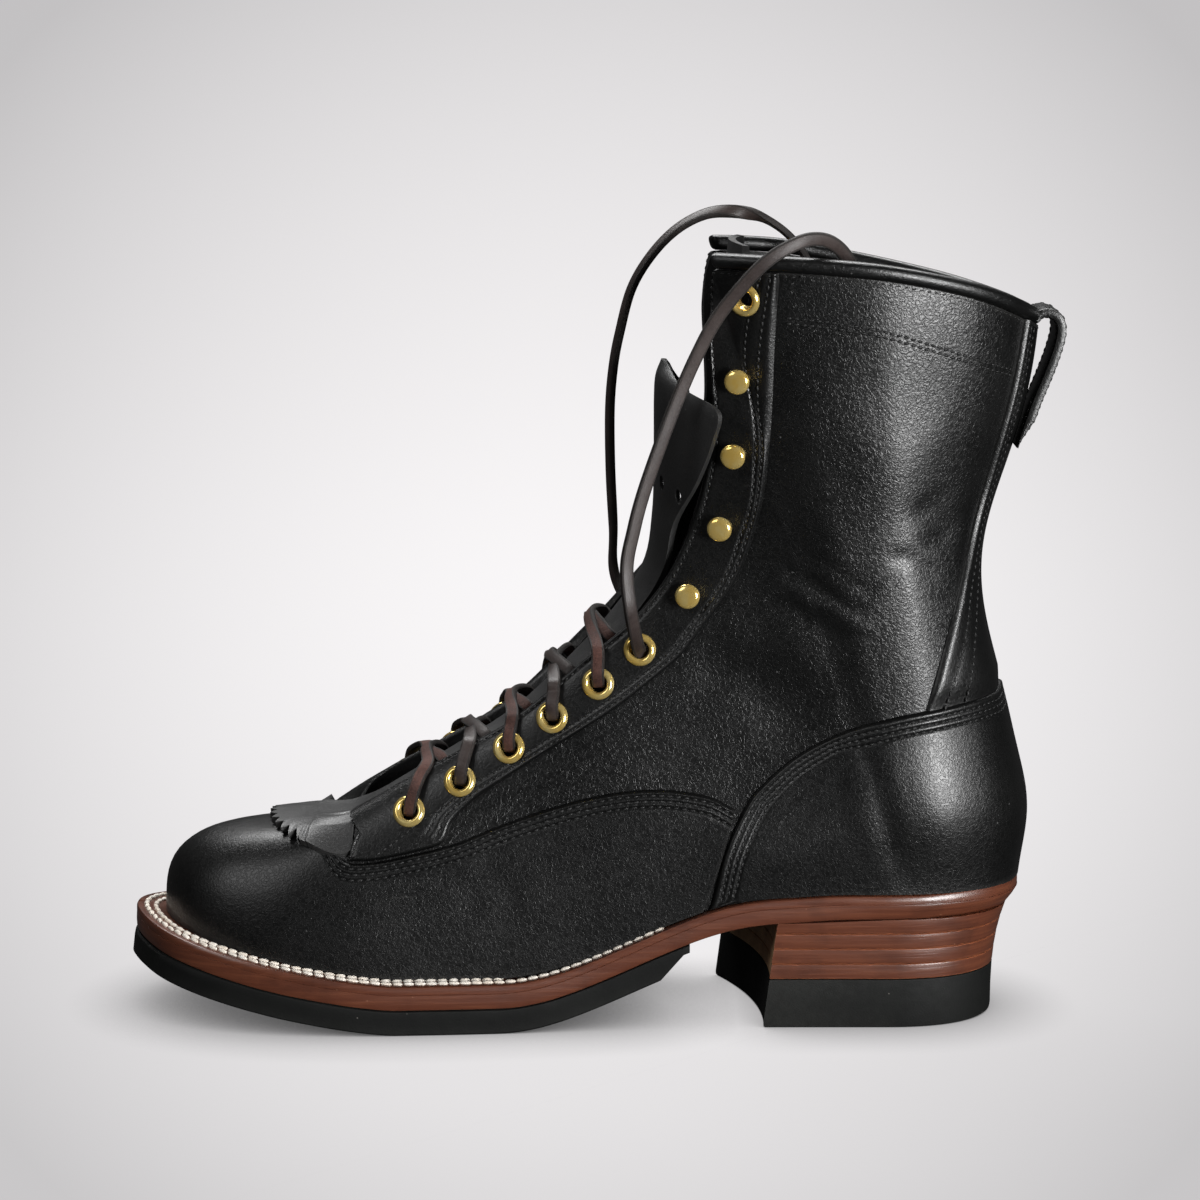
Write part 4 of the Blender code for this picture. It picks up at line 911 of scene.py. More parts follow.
def makeVamp():
    halves = []
    for side in ("lateral", "medial"):
        front = signedU(acrossToe(side), side)
        wing = signedU(findOnSide(smoothPath(seams["vampWing"], panelForm["seamStep"]), side), side)
        front = front[np.abs(front[:, 0]) < np.abs(wing[0, 0]) - 0.1]
        edge = evenOnUpper(np.concatenate([front, wing]), panelForm["edgeStep"])
        rear = signedU(findOnSide([vampForm["rear"]], side), side)[0, 0]
        reach, first = np.abs(edge[:, 0]), vampForm["easeFrom"]
        ease = np.clip((reach - first) / (reach[-1] - first), 0, 1)
        root = np.stack([edge[:, 0] + (rear - edge[-1, 0]) * ease, np.zeros(len(edge))], axis=1)
        uv, lift, length = ruledPanel(edge, root, vampForm["columns"], sewing["vamp"])
        halves.append((uv, lift))
        sewn = reach > vampForm["sewnFrom"]
        sewPanel(edge[sewn], root[sewn], length[sewn], sewing["vamp"])
    (lateralUv, lateralLift), (medialUv, medialLift) = halves
    uv = np.concatenate([medialUv[:0:-1], lateralUv])
    addPanel("toeVamp", uv, np.concatenate([medialLift[:0:-1], lateralLift]), "vamp")


# heel counter, whose two halves meet at the back
counterForm = dict(backHigh=117.0, backCount=14, backTries=400, rootPower=0.9, columns=22)


def makeCounter():
    halves, edges = [], {}
    tries = np.linspace(0, 1, counterForm["backTries"])
    backLine = onUpper(np.array([backRib]), tries)
    top = tries[np.abs(backLine[:, 2] - counterForm["backHigh"]).argmin()]
    for side in ("lateral", "medial"):
        edge = findOnSide(smoothPath(seams["counterEdge"], panelForm["seamStep"]), side)
        toBack = np.linspace(edge[-1], (backRib, top), counterForm["backCount"])[1:]
        edge = evenOnUpper(np.concatenate([edge, toBack]), panelForm["edgeStep"])
        share = np.linspace(0, 1, len(edge)) ** counterForm["rootPower"]
        root = np.stack([edge[0, 0] + (backRib - edge[0, 0]) * share, np.zeros(len(edge))], axis=1)
        uv, lift, length = ruledPanel(edge, root, counterForm["columns"], sewing["counter"])
        halves.append((uv, lift))
        edges[side] = edge
        sewPanel(edge, root, length, sewing["counter"])
    (lateralUv, lateralLift), (medialUv, medialLift) = halves
    uv = np.concatenate([lateralUv, medialUv[-2::-1]])
    addPanel("heelCounter", uv, np.concatenate([lateralLift, medialLift[-2::-1]]), "counter")
    return edges


# facings between the throat and their rear seam
eyestayForm = dict(throatFrom=dict(lateral=2.5, medial=2.6), throatCount=200, rows=230, rowStep=0.8,
                   columns=10, wingEnd=-151.5)


def makeEyestay(side):
    e = eyestayForm
    rear = findOnSide(smoothPath(seams["eyestayRear"], panelForm["seamStep"]), side)
    front = findOnSide(smoothPath(seams["eyestayFront"][side], 1.0), side)
    throatU = np.linspace(e["throatFrom"][side], collarRib, e["throatCount"])
    if side == "medial":
        throatU = ribCount - throatU
    front = np.concatenate([front, np.stack([throatU, np.ones(len(throatU))], axis=1)])
    rear[-1, 1] = 1.0
    places = np.linspace(0, 1, e["rows"])

    def along(uv):
        fine = evenOnUpper(uv, e["rowStep"])
        return np.stack([np.interp(places, np.linspace(0, 1, len(fine)), fine[:, a]) for a in (0, 1)], axis=1)

    rearLine, frontLine = along(rear), along(front)
    uv, lift, length = ruledPanel(frontLine, rearLine, e["columns"], sewing["eyestayFront"],
                                  sewing["eyestayRear"], e["wingEnd"])
    if side == "medial":
        uv, lift = uv[::-1], lift[::-1]
    item = addPanel("eyestay" + side.title(), uv, lift, "eyestay_" + side)
    sewPanel(frontLine, rearLine, length, sewing["eyestayFront"])
    sewPanel(rearLine, frontLine, length, sewing["eyestayRear"], e["wingEnd"])
    facingRow = findOnSide(smoothPath(seams["facingRow"], 1.0), side)
    sewRow(facingRow, sewing["eyestayFront"], leatherForm["overlay"])
    return item


# backstay: its lower end goes under the counter, and it narrows towards the collar
backstayForm = dict(columns=73, rows=90, under=0.014, most=4.6, spread=1.5, lowRise=0.4, riseLong=0.03,
                    stitchSunk=0.1)


def makeBackstay(counterEdges):
    b = backstayForm
    tops = {}
    for side, edge in counterEdges.items():
        order = np.argsort(edge[:, 0])
        tops[side] = (edge[order, 0], edge[order, 1])
    shares = np.linspace(0, 1, b["rows"])
    edges = {}
    for side, sign in (("lateral", -1), ("medial", 1)):
        seam = findOnSide(smoothPath(seams["backstayEdge"], 2.0), side)
        seam = seam[np.argsort(seam[:, 1])]
        seamReach = np.abs(seam[:, 0] - backRib)
        inner, outer = np.zeros(b["rows"]), np.full(b["rows"], b["most"])
        for _ in range(32):
            reach = (inner + outer) / 2
            low = np.interp(backRib + sign * reach, *tops[side]) - b["under"]
            v = low + (1 - low) * shares
            wide = reach < np.interp(v, seam[:, 1], seamReach)
            inner = np.where(wide, reach, inner)
            outer = np.where(wide, outer, reach)
        edges[side] = backRib + sign * (inner + outer) / 2
    across = np.linspace(-1, 1, b["columns"])
    across = np.sign(across) * (1 - (1 - np.abs(across)) ** b["spread"])
    u = np.where(across[:, None] < 0, backRib + (edges["lateral"] - backRib)[None, :] * -across[:, None],
                 backRib + (edges["medial"] - backRib)[None, :] * across[:, None])
    low = np.where(u < backRib, np.interp(u, *tops["lateral"]), np.interp(u, *tops["medial"])) - b["under"]
    v = low + (1 - low) * shares[None, :]
    half = np.linalg.norm(onUpper(u[0], v[0]) - onUpper(u[-1], v[-1]), axis=1) / 2
    gap = (1 - np.abs(across))[:, None] * half[None, :]
    rise = b["lowRise"] + (1 - b["lowRise"]) * np.clip((v - low - b["under"]) / b["riseLong"], 0, 1)
    addPanel("heelBackstay", np.stack([u, v], axis=2), edgeLift(gap, sewing["backstay"]) * rise, "backstay")
    for side, column in (("lateral", 0), ("medial", -1)):
        outerLine = np.stack([edges[side], v[column]], axis=1)
        middle = np.stack([np.full(b["rows"], float(backRib)), v[column]], axis=1)
        for row in sewing["backstay"]["rows"]:
            line = outerLine + (middle - outerLine) * (row / half)[:, None]
            sewRow(line, sewing["backstay"], leatherForm["overlay"] - b["stitchSunk"])


makeVamp()
counterEdges = makeCounter()
eyestays = {side: makeEyestay(side) for side in ("lateral", "medial")}
makeBackstay(counterEdges)
print("overlays sewn on:", len(stitches), "stitches so far")


# rolled collar edge, its stitch line and the double row below the collar
collarForm = dict(high=5.6, wide=5.8, seat=0.2, sides=20, rows=150, stitchBelow=0.9, stitchSunk=0.1,
                  squareness=0.8, endShares=(0.55, 0.88), waver=0.03, rowLift=0.12,
                  stays=((13, 14.2), (17.35, 18.65), (21.8, 23)), stayRamp=0.05)
collarRow = [(-36.6, 248), (-20, 246.5), (-3, 243.6), (14, 238.5), (31, 232.5), (43.5, 228)]


# height over the wall of what lies under the binding: facings and backstay, or nothing
def stayLift(us):
    knots, lifts = [], []
    for first, last in collarForm["stays"]:
        knots += [first - collarForm["stayRamp"], first, last, last + collarForm["stayRamp"]]
        lifts += [0, leatherForm["overlay"], leatherForm["overlay"], 0]
    return np.interp(us, knots, lifts)


def makeBinding():
    c = collarForm
    us = np.linspace(collarRib, ribCount - collarRib, c["rows"])
    edge = onUpper(us, np.ones(len(us)))
    up = edge - onUpper(us, np.full(len(us), 0.97))
    up /= np.linalg.norm(up, axis=1)[:, None]
    out = offUpper(us, np.ones(len(us)))
    middle = edge + out * (leatherForm["overlay"] - leatherForm["wall"]) / 2
    middle = middle + up * (c["seat"] + c["high"] / 2)
    turns = np.linspace(0, 2 * math.pi, c["sides"], endpoint=False)
    sideways = np.sign(np.cos(turns)) * np.abs(np.cos(turns)) ** c["squareness"]
    upright = np.sign(np.sin(turns)) * np.abs(np.sin(turns)) ** c["squareness"]
    shrink = np.ones(len(us))
    for k, share in enumerate(c["endShares"]):
        shrink[[k, -1 - k]] = share
    wave = 1 + c["waver"] * np.sin(us * 5.3) * np.sin(us * 1.7)
    sections = []
    for k in range(len(us)):
        wide = sideways * (c["wide"] / 2 * shrink[k] * wave[k])
        high = upright * (c["high"] / 2 * shrink[k])
        sections.append(middle[k] + out[k] * wide[:, None] + up[k] * high[:, None])
    points, faces = loopLoft(sections)
    stands = ("collar_binding",)
    addPiece("collarBinding", points, faces, "overlayLeather", stands, turn=True)
    lengths = np.linalg.norm(edge - onUpper(us, np.full(len(us), 0.9)), axis=1) / 0.1
    below = np.stack([us, 1 - c["stitchBelow"] / lengths], axis=1)
    sewn = sewing["binding"]
    even = evenOnUpper(below, sewn["pitch"])
    lifts = np.interp(even[:, 0], us, stayLift(us))
    places = above(even[:, 0], even[:, 1], lifts - c["stitchSunk"])
    runs = np.gradient(places, axis=0)
    for place, run, away in zip(places, runs, offUpper(even[:, 0], even[:, 1])):
        stitches.append((place, run / np.linalg.norm(run), away, sewn["long"], sewn["wide"]))
    for side in ("lateral", "medial"):
        for row in sewing["collar"]["rows"]:
            line = smoothPath([(x, z - row) for x, z in collarRow], panelForm["seamStep"])
            sewRow(findOnSide(line, side), sewing["collar"], c["rowLift"])


# pull loop at the back of the collar
loopForm = dict(path=[(47.7, 199.5), (49.1, 204), (51.3, 211), (53.2, 216.5), (56.2, 224), (58.9, 231.5),
                      (60.6, 238), (60.6, 242.3), (59.0, 245.3), (55.7, 246.4), (53.2, 245.8), (51.8, 244)],
                pathStep=0.9, wide=21.0, thick=3.2, stitchIn=2.2, stitchProud=0.08, taper=11.0, thinnest=0.2)
stripEdge = dict(soft=0.32, corner=0.25, crown=1.06)


# section of a leather strip with eased corners, grain side up
def stripSection(wide, thick):
    soft = stripEdge["soft"] * thick
    ease = stripEdge["corner"] * soft
    a, b = wide / 2, thick / 2
    corner = [(a - soft, b), (a - ease, b - ease), (a, b - soft)]
    right = corner + [(x, -z) for x, z in corner[::-1]]
    left = [(-x, -z) for x, z in right]
    section = [(0, b * stripEdge["crown"])] + right + [(0, -b * stripEdge["crown"])] + left
    return np.array(section[-1:] + section[:-1])


stripMarks = [0, 0, 2, 2, 2, 2, 2, 1, 1, 2, 2, 2, 2, 2]  # grain side, flesh side or edge of each face


def strip(path, across, wide, thick, thin=None):
    section = stripSection(wide, thick)
    thin = np.ones(len(path)) if thin is None else thin
    run = np.gradient(path, axis=0)
    run /= np.linalg.norm(run, axis=1)[:, None]
    side = across - run * (across * run).sum(axis=1)[:, None]
    side /= np.linalg.norm(side, axis=1)[:, None]
    face = np.cross(run, side)
    high = section[None, :, 1:] * thin[:, None, None] + (1 - thin)[:, None, None] * thick / 2
    rings = path[:, None, :] + side[:, None, :] * section[None, :, :1] + face[:, None, :] * high
    points, faces = loopLoft(rings)
    marks = stripMarks * (len(path) - 1) + [2, 2]
    return points, faces, marks, side, face


def makePullLoop():
    p, sewn = loopForm, sewing["pullLoop"]
    path = smoothPath([(x, 0, z) for x, z in p["path"]], p["pathStep"])
    across = np.tile([0.0, 1.0, 0.0], (len(path), 1))
    thin = np.clip(np.arange(len(path)) * p["pathStep"] / p["taper"], p["thinnest"], 1)
    points, faces, _, side, face = strip(path, across, p["wide"], p["thick"], thin)
    addPiece("pullLoop", points, faces, "overlayLeather", ("pull_loop",), turn=True)
    spots = evenly(np.concatenate([path, side, face, thin[:, None]], axis=1), sewn["pitch"])
    runs = np.gradient(spots[:, :3], axis=0)
    for spot, run in zip(spots[1:-1], runs[1:-1]):
        run = run / np.linalg.norm(run)
        middle, sideways, out, thinHere = spot[:3], spot[3:6], spot[6:9], spot[9]
        for edge in (-1, 1):
            for under in (-1, 1):
                high = 1 if under > 0 else 1 - 2 * thinHere
                place = middle + sideways * edge * (p["wide"] / 2 - p["stitchIn"])
                place = place + out * (p["thick"] / 2 * high + p["stitchProud"] * under)
                stitches.append((place, run, out * under, sewn["long"], sewn["wide"]))


makeBinding()
makePullLoop()
print("collar and pull loop done")


# tongue and false tongue with its fringe: crest x, y, z, half width, fall of the edges, extra lateral fall
tongueForm = dict(thick=2.5, columns=29, steps=6, sections=[
    (-190, 3.6, 62.2, 8, 1, 0), (-181.5, 3.6, 62.6, 8, 1, 0), (-172, 3.6, 69, 10, 2, 0),
    (-160, 3.2, 77.5, 13.5, 4, 0), (-143, 2.6, 88.5, 15, 5, 0), (-123, 1.8, 102, 15.5, 6, 0),
    (-101, 0.8, 120.5, 16, 6, 0), (-83, 0.3, 139.5, 17, 6, 0), (-70, 0, 161, 18.5, 6, 0),
    (-61, 0, 188, 21, 6, 0), (-57, 0, 215, 24, 6, 0), (-56, 0, 245, 26.5, 6, 0), (-54, 0, 262, 27, 5, 0),
    (-53, 0, 271, 23, 4, 0)])
kiltieForm = dict(
    thick=2.2, steps=5, teeth=20, toothPoints=8, tooth=0.12, lastTooth=-0.62,
    root=(-192, 3.5), long=21.5, wide=32, turnLateral=104, turnMedial=84,
    rings=(1.0, 0.82, 0.64, 0.45), baseX=-185.5, baseHalf=12.5, clear=0.45, steepest=0.5,
    tuckFrom=-0.7, tuckBack=4.0, tuckSlant=9.0, tuckBase=6.5, tuckDeep=3.7,
    sections=[
        (-176, 3.7, 75, 12, 1.5, 0), (-167.5, 3.5, 80.2, 13.5, 2.5, 0), (-148.5, 2.7, 92, 15, 3, 0),
        (-126.5, 1.8, 106.6, 16, 3.5, 0), (-105.5, 0.8, 127, 17, 4, 0), (-90, 0.3, 145, 17.5, 5, 0),
        (-81.5, 0, 160, 18.5, 6, 0), (-79, -0.5, 176, 20.5, 7, 0), (-78.5, -3.5, 190, 27, 9.5, 4),
        (-78.5, -5.5, 205, 31.5, 11, 8), (-78.5, -6, 217, 33.5, 11, 9.5), (-78, -5, 224.5, 21, 7, 2),
        (-76, -4, 230, 7, 2, 0)],
    slots=[((-75.6, -15.0, 188.6), (-0.915, -0.4, 0.0)), ((-70.8, -23.9, 185.0), (-0.8, -0.6, 0.0))],
    slotWide=3.2, slotHigh=5.2)


def crestFrames(sections):
    points = np.array(sections, float)[:, :3]
    runs = np.gradient(points, axis=0)
    outs = np.stack([-runs[:, 2], np.zeros(len(runs)), runs[:, 0]], axis=1)
    return points, outs / np.linalg.norm(outs, axis=1)[:, None]


def bowedRows(sections, columns):
    points, outs = crestFrames(sections)
    s = np.linspace(1, -1, columns)
    rows = []
    for (_, _, _, half, bow, turn), point, out in zip(sections, points, outs):
        fall = (bow + np.where(s < 0, turn, 0)) * s * s
        row = np.tile(point, (columns, 1)) - out[None, :] * fall[:, None]
        row[:, 1] += half * s
        rows.append(row)
    return np.array(rows)


def makeTongue():
    rows = refineRows(bowedRows(tongueForm["sections"], tongueForm["columns"]), tongueForm["steps"])
    outer = rows.transpose(1, 0, 2)
    points, faces = shell(outer, outer - gridNormals(outer) * tongueForm["thick"])
    addPiece("bootTongue", points, faces, "kiltieLeather", ("tongue",))


# fan of the false tongue, laid over the vamp, with its lateral end tucked under the facing
def fringeRows():
    k = kiltieForm
    u, v = np.meshgrid(np.linspace(-5, 5, 101), np.linspace(0.2, 1, 60), indexing="ij")
    laid = above(u, v, leatherForm["overlay"])
    tree = BVHTree.FromPolygons([tuple(p) for p in laid.reshape(-1, 3)], gridFaces(*laid.shape[:2]))
    lift = k["thick"] + k["clear"]
    each = k["toothPoints"]

    def onVamp(x, y, share, back):
        tucked = eased(share, k["tuckFrom"], -1)
        x = x + tucked * back
        hit, normal, _, _ = tree.ray_cast(Vector((x, y, 150)), Vector((0, 0, -1)))
        if hit is None:
            hit, normal, _, _ = tree.find_nearest(Vector((x, y, 70)))
        high = lift - tucked * k["tuckDeep"]
        return (x, y, hit.z + high / max(abs(normal.z), k["steepest"]))

    shares = np.linspace(1, -1, each * k["teeth"] + 1)
    rows = []
    for number, ring in enumerate(k["rings"]):
        row = []
        back = k["tuckBack"] + k["tuckSlant"] * (1 - ring)
        for place, share in enumerate(shares):
            angle = math.radians(k["turnMedial"] if share > 0 else k["turnLateral"]) * share
            zig = 1 - abs((place % each) / (each / 2) - 1)
            notch = k["tooth"] * zig if number == 0 and share > k["lastTooth"] else 0.0
            reach = ring - notch
            row.append(onVamp(k["root"][0] - k["long"] * reach * math.cos(angle),
                              k["root"][1] + k["wide"] * reach * math.sin(angle), share, back))
        rows.append(row)
    baseY = k["root"][1] + k["baseHalf"] * shares
    rows.append([onVamp(k["baseX"], y, share, k["tuckBase"]) for y, share in zip(baseY, shares)])
    return np.array(rows)


def makeKiltie():
    fringe = fringeRows()
    body = bowedRows(kiltieForm["sections"], fringe.shape[1])
    rows = refineRows(np.concatenate([fringe[1:], body]), kiltieForm["steps"])
    rows = np.concatenate([fringe[:1], rows])
    outer = rows.transpose(1, 0, 2)
    normals = gridNormals(outer)
    normals[:, 0] = normals[:, 2]
    normals[:, 1] = normals[:, 2]
    points, faces = shell(outer, outer - normals * kiltieForm["thick"])
    return addPiece("fringedKiltie", points, faces, "kiltieLeather", ("kiltie",), sharp=55)


makeTongue()
kiltiePiece = makeKiltie()
print("tongue and kiltie done")


# brass eyelets and studs, as turned profiles of radius and height over the facing
hardware = dict(
    eyelets=[(-162.6, 74.7), (-145, 85.3), (-128, 97), (-113, 108), (-97.3, 120), (-83, 132), (-48, 254)],
    studs=[(-66, 151.5), (-55, 175.6), (-50.5, 201), (-49.7, 226.5)],
    eyeletTurn=[(2.95, -3.6), (2.95, -0.6), (3.1, 0.6), (3.5, 1.22), (4.1, 1.5), (4.75, 1.32), (5.3, 0.85),
                (5.62, 0.3), (5.6, 0.05), (3.7, -0.05), (3.6, -3.6)],
    studTurn=[(3.2, 0.05), (3.35, 0.35), (3.2, 0.7), (2.4, 0.95), (2.25, 1.6), (2.45, 2.4), (3.6, 2.85),
              (4.15, 3.2), (4.3, 3.75), (4.22, 4.35), (3.9, 4.85), (3.35, 5.15), (2.4, 5.38), (1.1, 5.5),
              (0.25, 5.52)],
    lift=2.3, sides=44, hole=4.0)


def faceFrame(u, v, lift):
    u, v = np.array([u]), np.array([v])
    out = offUpper(u, v)[0]
    up = (onUpper(u, np.minimum(v + 0.02, 1)) - onUpper(u, v - 0.02))[0]
    up /= np.linalg.norm(up)
    return onUpper(u, v)[0] + out * lift, np.cross(up, out), up, out


def turned(name, spot, profile, ring, stands):
    middle, across, up, out = faceFrame(*spot, hardware["lift"])
    turns = np.linspace(0, 2 * math.pi, hardware["sides"], endpoint=False)
    circle = np.cos(turns)[:, None] * across + np.sin(turns)[:, None] * up
    points, faces = loopLoft([middle + out * high + circle * radius for radius, high in profile], ring)
    addPiece(name, points, faces, "brass", (stands,), sharp=60, turn=True)


def makeHardware():
    spots = {}
    for kind, places, profile in (("eyelet", hardware["eyelets"], hardware["eyeletTurn"]),
                                  ("stud", hardware["studs"], hardware["studTurn"])):
        for k, (u, v) in enumerate(findOnSide(places, "lateral")):
            for side, spot in (("lateral", (u, v)), ("medial", (ribCount - u, v))):
                name = f"{kind}_{side}_{k + 1}"
                spots[name] = spot
                turned(f"{kind}{side.title()}{k + 1}", spot, profile, kind == "eyelet", name)
    return spots


laceSpots = makeHardware()
print(len(laceSpots), "brass pieces set")


# holes for the eyelets through wall and facings, and oval slots through the tab
holeForm = dict(sides=24, reach=7.0)


def cutHoles(pieces, holes):
    bm = bmesh.new()
    sides = holeForm["sides"]
    turns = np.linspace(0, 2 * math.pi, sides, endpoint=False)
    for middle, across, up, out in holes:
        rings = []
        for reach in (-holeForm["reach"], holeForm["reach"]):
            spots = [middle + out * reach + across * math.cos(a) + up * math.sin(a) for a in turns]
            rings.append([bm.verts.new(Vector(p) * mm) for p in spots])
        for k in range(sides):
            after = (k + 1) % sides
            bm.faces.new((rings[0][k], rings[0][after], rings[1][after], rings[1][k]))
        bm.faces.new(rings[0][::-1])
        bm.faces.new(rings[1])
    bmesh.ops.recalc_face_normals(bm, faces=bm.faces)
    mesh = bpy.data.meshes.new("holeCutter")
    bm.to_mesh(mesh)
    bm.free()
    cutter = bpy.data.objects.new("holeCutter", mesh)
    bpy.context.scene.collection.objects.link(cutter)
    for piece in pieces:
        cut = piece.modifiers.new("holes", "BOOLEAN")
        cut.operation = "DIFFERENCE"
        cut.solver = "MANIFOLD"
        cut.object = cutter
        depsgraph = bpy.context.evaluated_depsgraph_get()
        result = bpy.data.meshes.new_from_object(piece.evaluated_get(depsgraph))
        piece.modifiers.clear()
        piece.data = result
    bpy.data.objects.remove(cutter)


def eyeletHole(spot):
    middle, across, up, out = faceFrame(*spot, 0.0)
    return middle, across * hardware["hole"], up * hardware["hole"], out


def tabSlot(place, out):
    out = np.array(out) / np.linalg.norm(out)
    up = np.array([0.0, 0.0, 1.0])
    across = np.cross(up, out) * kiltieForm["slotWide"] / 2
    return np.array(place), across, up * kiltieForm["slotHigh"] / 2, out


cutHoles([upperPiece] + list(eyestays.values()),
         [eyeletHole(spot) for name, spot in laceSpots.items() if name.startswith("eyelet")])
cutHoles([kiltiePiece], [tabSlot(*slot) for slot in kiltieForm["slots"]])
print("eyelet holes and tab slots cut")


# leather lace: bars through the eyelets and two free ends
laceForm = dict(wide=4.5, thick=2.1, bars=5, rise=2.0, over=1.4, under=0.5, lead=0.24,
                endWide=4.6, endThick=2.3)
barForm = dict(holeDeep=-3.5, holeDrop=0.003, holdLift=1.2, rimShare=0.3, rimLift=4.9, halfAlong=0.65,
               halfUp=0.68, halfLift=0.9, edgeLift=0.3, nearRise=0.6, nearIn=4.2, diveAt=0.985,
               diveDeep=-4.4, diveIn=1.0, step=0.9, turnFrom=0.3, turnTo=0.55)
endForm = dict(holeDeep=-3.0, holeLift=3.9, step=1.2, facingShare=0.12, waves=5.0, sway=(0.25, 0.0, 0.2),
               rounds=10, broad=dict(lateral=(0.25, -1.0, 0.1), medial=(-0.75, -0.3, 0.3)))
laceEnds = dict(
    lateral=[(-86.5, -40, 147.5), (-88, -40, 163), (-85.7, -40, 176), (-82.3, -40, 189), (-76.1, -40, 207),
             (-70, -40, 223), (-64.6, -41, 235.5), (-58.4, -43, 247.5), (-50.2, -46, 258.5),
             (-41.7, -48, 267.5), (-33.4, -47, 272.5), (-26.8, -44, 274.3), (-20.5, -39.5, 273),
             (-15, -34.5, 268), (-11.5, -31, 260), (-10, -29.5, 251)],
    medial=[(-92, 37.5, 149), (-92.3, 34, 165.5), (-93.3, 31, 187), (-93.5, 28, 208.5), (-92.3, 26, 224),
            (-90, 24.5, 236.5), (-86, 23.5, 251.5), (-79.3, 23, 263), (-70.7, 23, 272), (-60.9, 23.5, 277.4),
            (-51.6, 24.5, 278.5), (-41.9, 26, 276.8), (-33.6, 28, 272.2), (-27, 30, 265.5), (-23, 31.5, 258),
            (-21, 32, 251)],
)


def point(u, v, lift):
    return above(np.array([u]), np.array([v]), np.array([float(lift)]))[0]


def unit(vector):
    return vector / np.linalg.norm(vector)


def laceBar(eyelet, eyeletNext, underU, upperStrip):
    b = barForm
    u, v = eyelet
    crest, outs = crestFrames(kiltieForm["sections"])
    edgeU = u + (eyeletNext[0] - u) * laceForm["lead"]
    flat = leatherForm["overlay"] + laceForm["thick"] / 2
    hole, hold = point(u, v - b["holeDrop"], b["holeDeep"]), point(u, v, b["holdLift"])
    rimU, rimV = u + (edgeU - u) * b["rimShare"], v + (1 - v) * b["rimShare"]
    halfU, halfV = u + (edgeU - u) * b["halfAlong"], v + (1 - v) * b["halfUp"]
    rim, half = point(rimU, rimV, b["rimLift"]), point(halfU, halfV, flat + b["halfLift"])
    edge = point(edgeU, 1.0, flat + b["edgeLift"])
    start = onUpper(np.array([underU]), np.array([1.0]))[0]
    middleX = (start[0] + edge[0]) / 2
    ranks = np.arange(len(crest))
    rank = np.interp(middleX, crest[:, 0], ranks)
    out = unit(np.array([np.interp(rank, ranks, outs[:, a]) for a in range(3)]))
    middle = np.array([np.interp(rank, ranks, crest[:, a]) for a in range(3)])
    middle = middle + out * (laceForm["rise"] + laceForm["thick"] * (
        laceForm["over"] if upperStrip else laceForm["under"]))
    towards = np.sign(middle[1] - start[1])
    near = start + out * laceForm["rise"] * b["nearRise"] + np.array([0, b["nearIn"] * towards, 0])
    dive = point(underU, b["diveAt"], b["diveDeep"]) + np.array([0, b["diveIn"] * towards, 0])
    path = smoothPath([hole, hold, rim, half, edge, middle, near, dive], b["step"])
    atEyelet = offUpper(np.array([u]), np.array([v]))[0]
    onFacing = unit(np.cross(edge - hold, atEyelet))
    overTongue = unit(np.cross(near - edge, out))
    share = np.linspace(0, 1, len(path))[:, None]
    turn = eased(share, b["turnFrom"], b["turnTo"])
    across = onFacing * (1 - turn) + overTongue * turn
    return path, across / np.linalg.norm(across, axis=1)[:, None]


def joinLists(shapes):
    points, faces, marks, first = [], [], [], 0
    for shapePoints, shapeFaces, shapeMarks in shapes:
        points.append(shapePoints)
        faces += [tuple(k + first for k in face) for face in shapeFaces]
        marks += list(shapeMarks)
        first += len(shapePoints)
    return np.concatenate(points), faces, marks


def makeBars():
    for k in range(1, laceForm["bars"] + 1):
        shapes = []
        lateral, lateralNext = laceSpots[f"eyelet_lateral_{k}"], laceSpots[f"eyelet_lateral_{k + 1}"]
        medial, medialNext = laceSpots[f"eyelet_medial_{k}"], laceSpots[f"eyelet_medial_{k + 1}"]
        underLateral = (lateral[0] + lateralNext[0]) / 2
        for eyelet, after, under, top in ((lateral, lateralNext, ribCount - underLateral, k % 2),
                                          (medial, medialNext, underLateral, (k + 1) % 2)):
            path, across = laceBar(eyelet, after, under, top)
            points, faces, marks, _, _ = strip(path, across, laceForm["wide"], laceForm["thick"])
            shapes.append((points, faces, marks))
        looks = ("laceGrain", "laceFlesh", "laceEdge") if k % 2 else ("laceFlesh", "laceGrain", "laceEdge")
        points, faces, marks = joinLists(shapes)
        stands = (f"lace_crossing_{k}",)
        addPiece(f"laceBar{k}", points, faces, looks, stands, marks, turn=True)


def makeLaceEnd(side):
    e = endForm
    u, v = laceSpots[f"eyelet_{side}_6"]
    route = [point(u, v, e["holeDeep"]), point(u, v, e["holeLift"])]
    route += [np.array(p, float) for p in laceEnds[side]]
    path = smoothPath(route, e["step"])
    out = offUpper(np.array([u]), np.array([v]))[0]
    run = np.gradient(path, axis=0)
    lengths = np.linspace(0, 1, len(path))[:, None]
    first = np.clip(1 - lengths / e["facingShare"], 0, 1)
    wander = np.sin(lengths * e["waves"]) * np.array(e["sway"])
    facing = out * first + (np.array(e["broad"][side]) + wander) * (1 - first)
    across = np.cross(run, facing)
    across /= np.linalg.norm(across, axis=1)[:, None]
    for _ in range(e["rounds"]):
        across[1:-1] = (across[:-2] + 2 * across[1:-1] + across[2:]) / 4
    points, faces, marks, _, _ = strip(path, across, laceForm["endWide"], laceForm["endThick"])
    name = "laceEnd" + side.title()
    item = addPiece(name, points, faces, ("laceFlesh", "laceGrain", "laceEdge"),
                    ("lace_end_" + side,), marks, turn=True)


makeBars()
for laceSide in laceEnds:
    makeLaceEnd(laceSide)


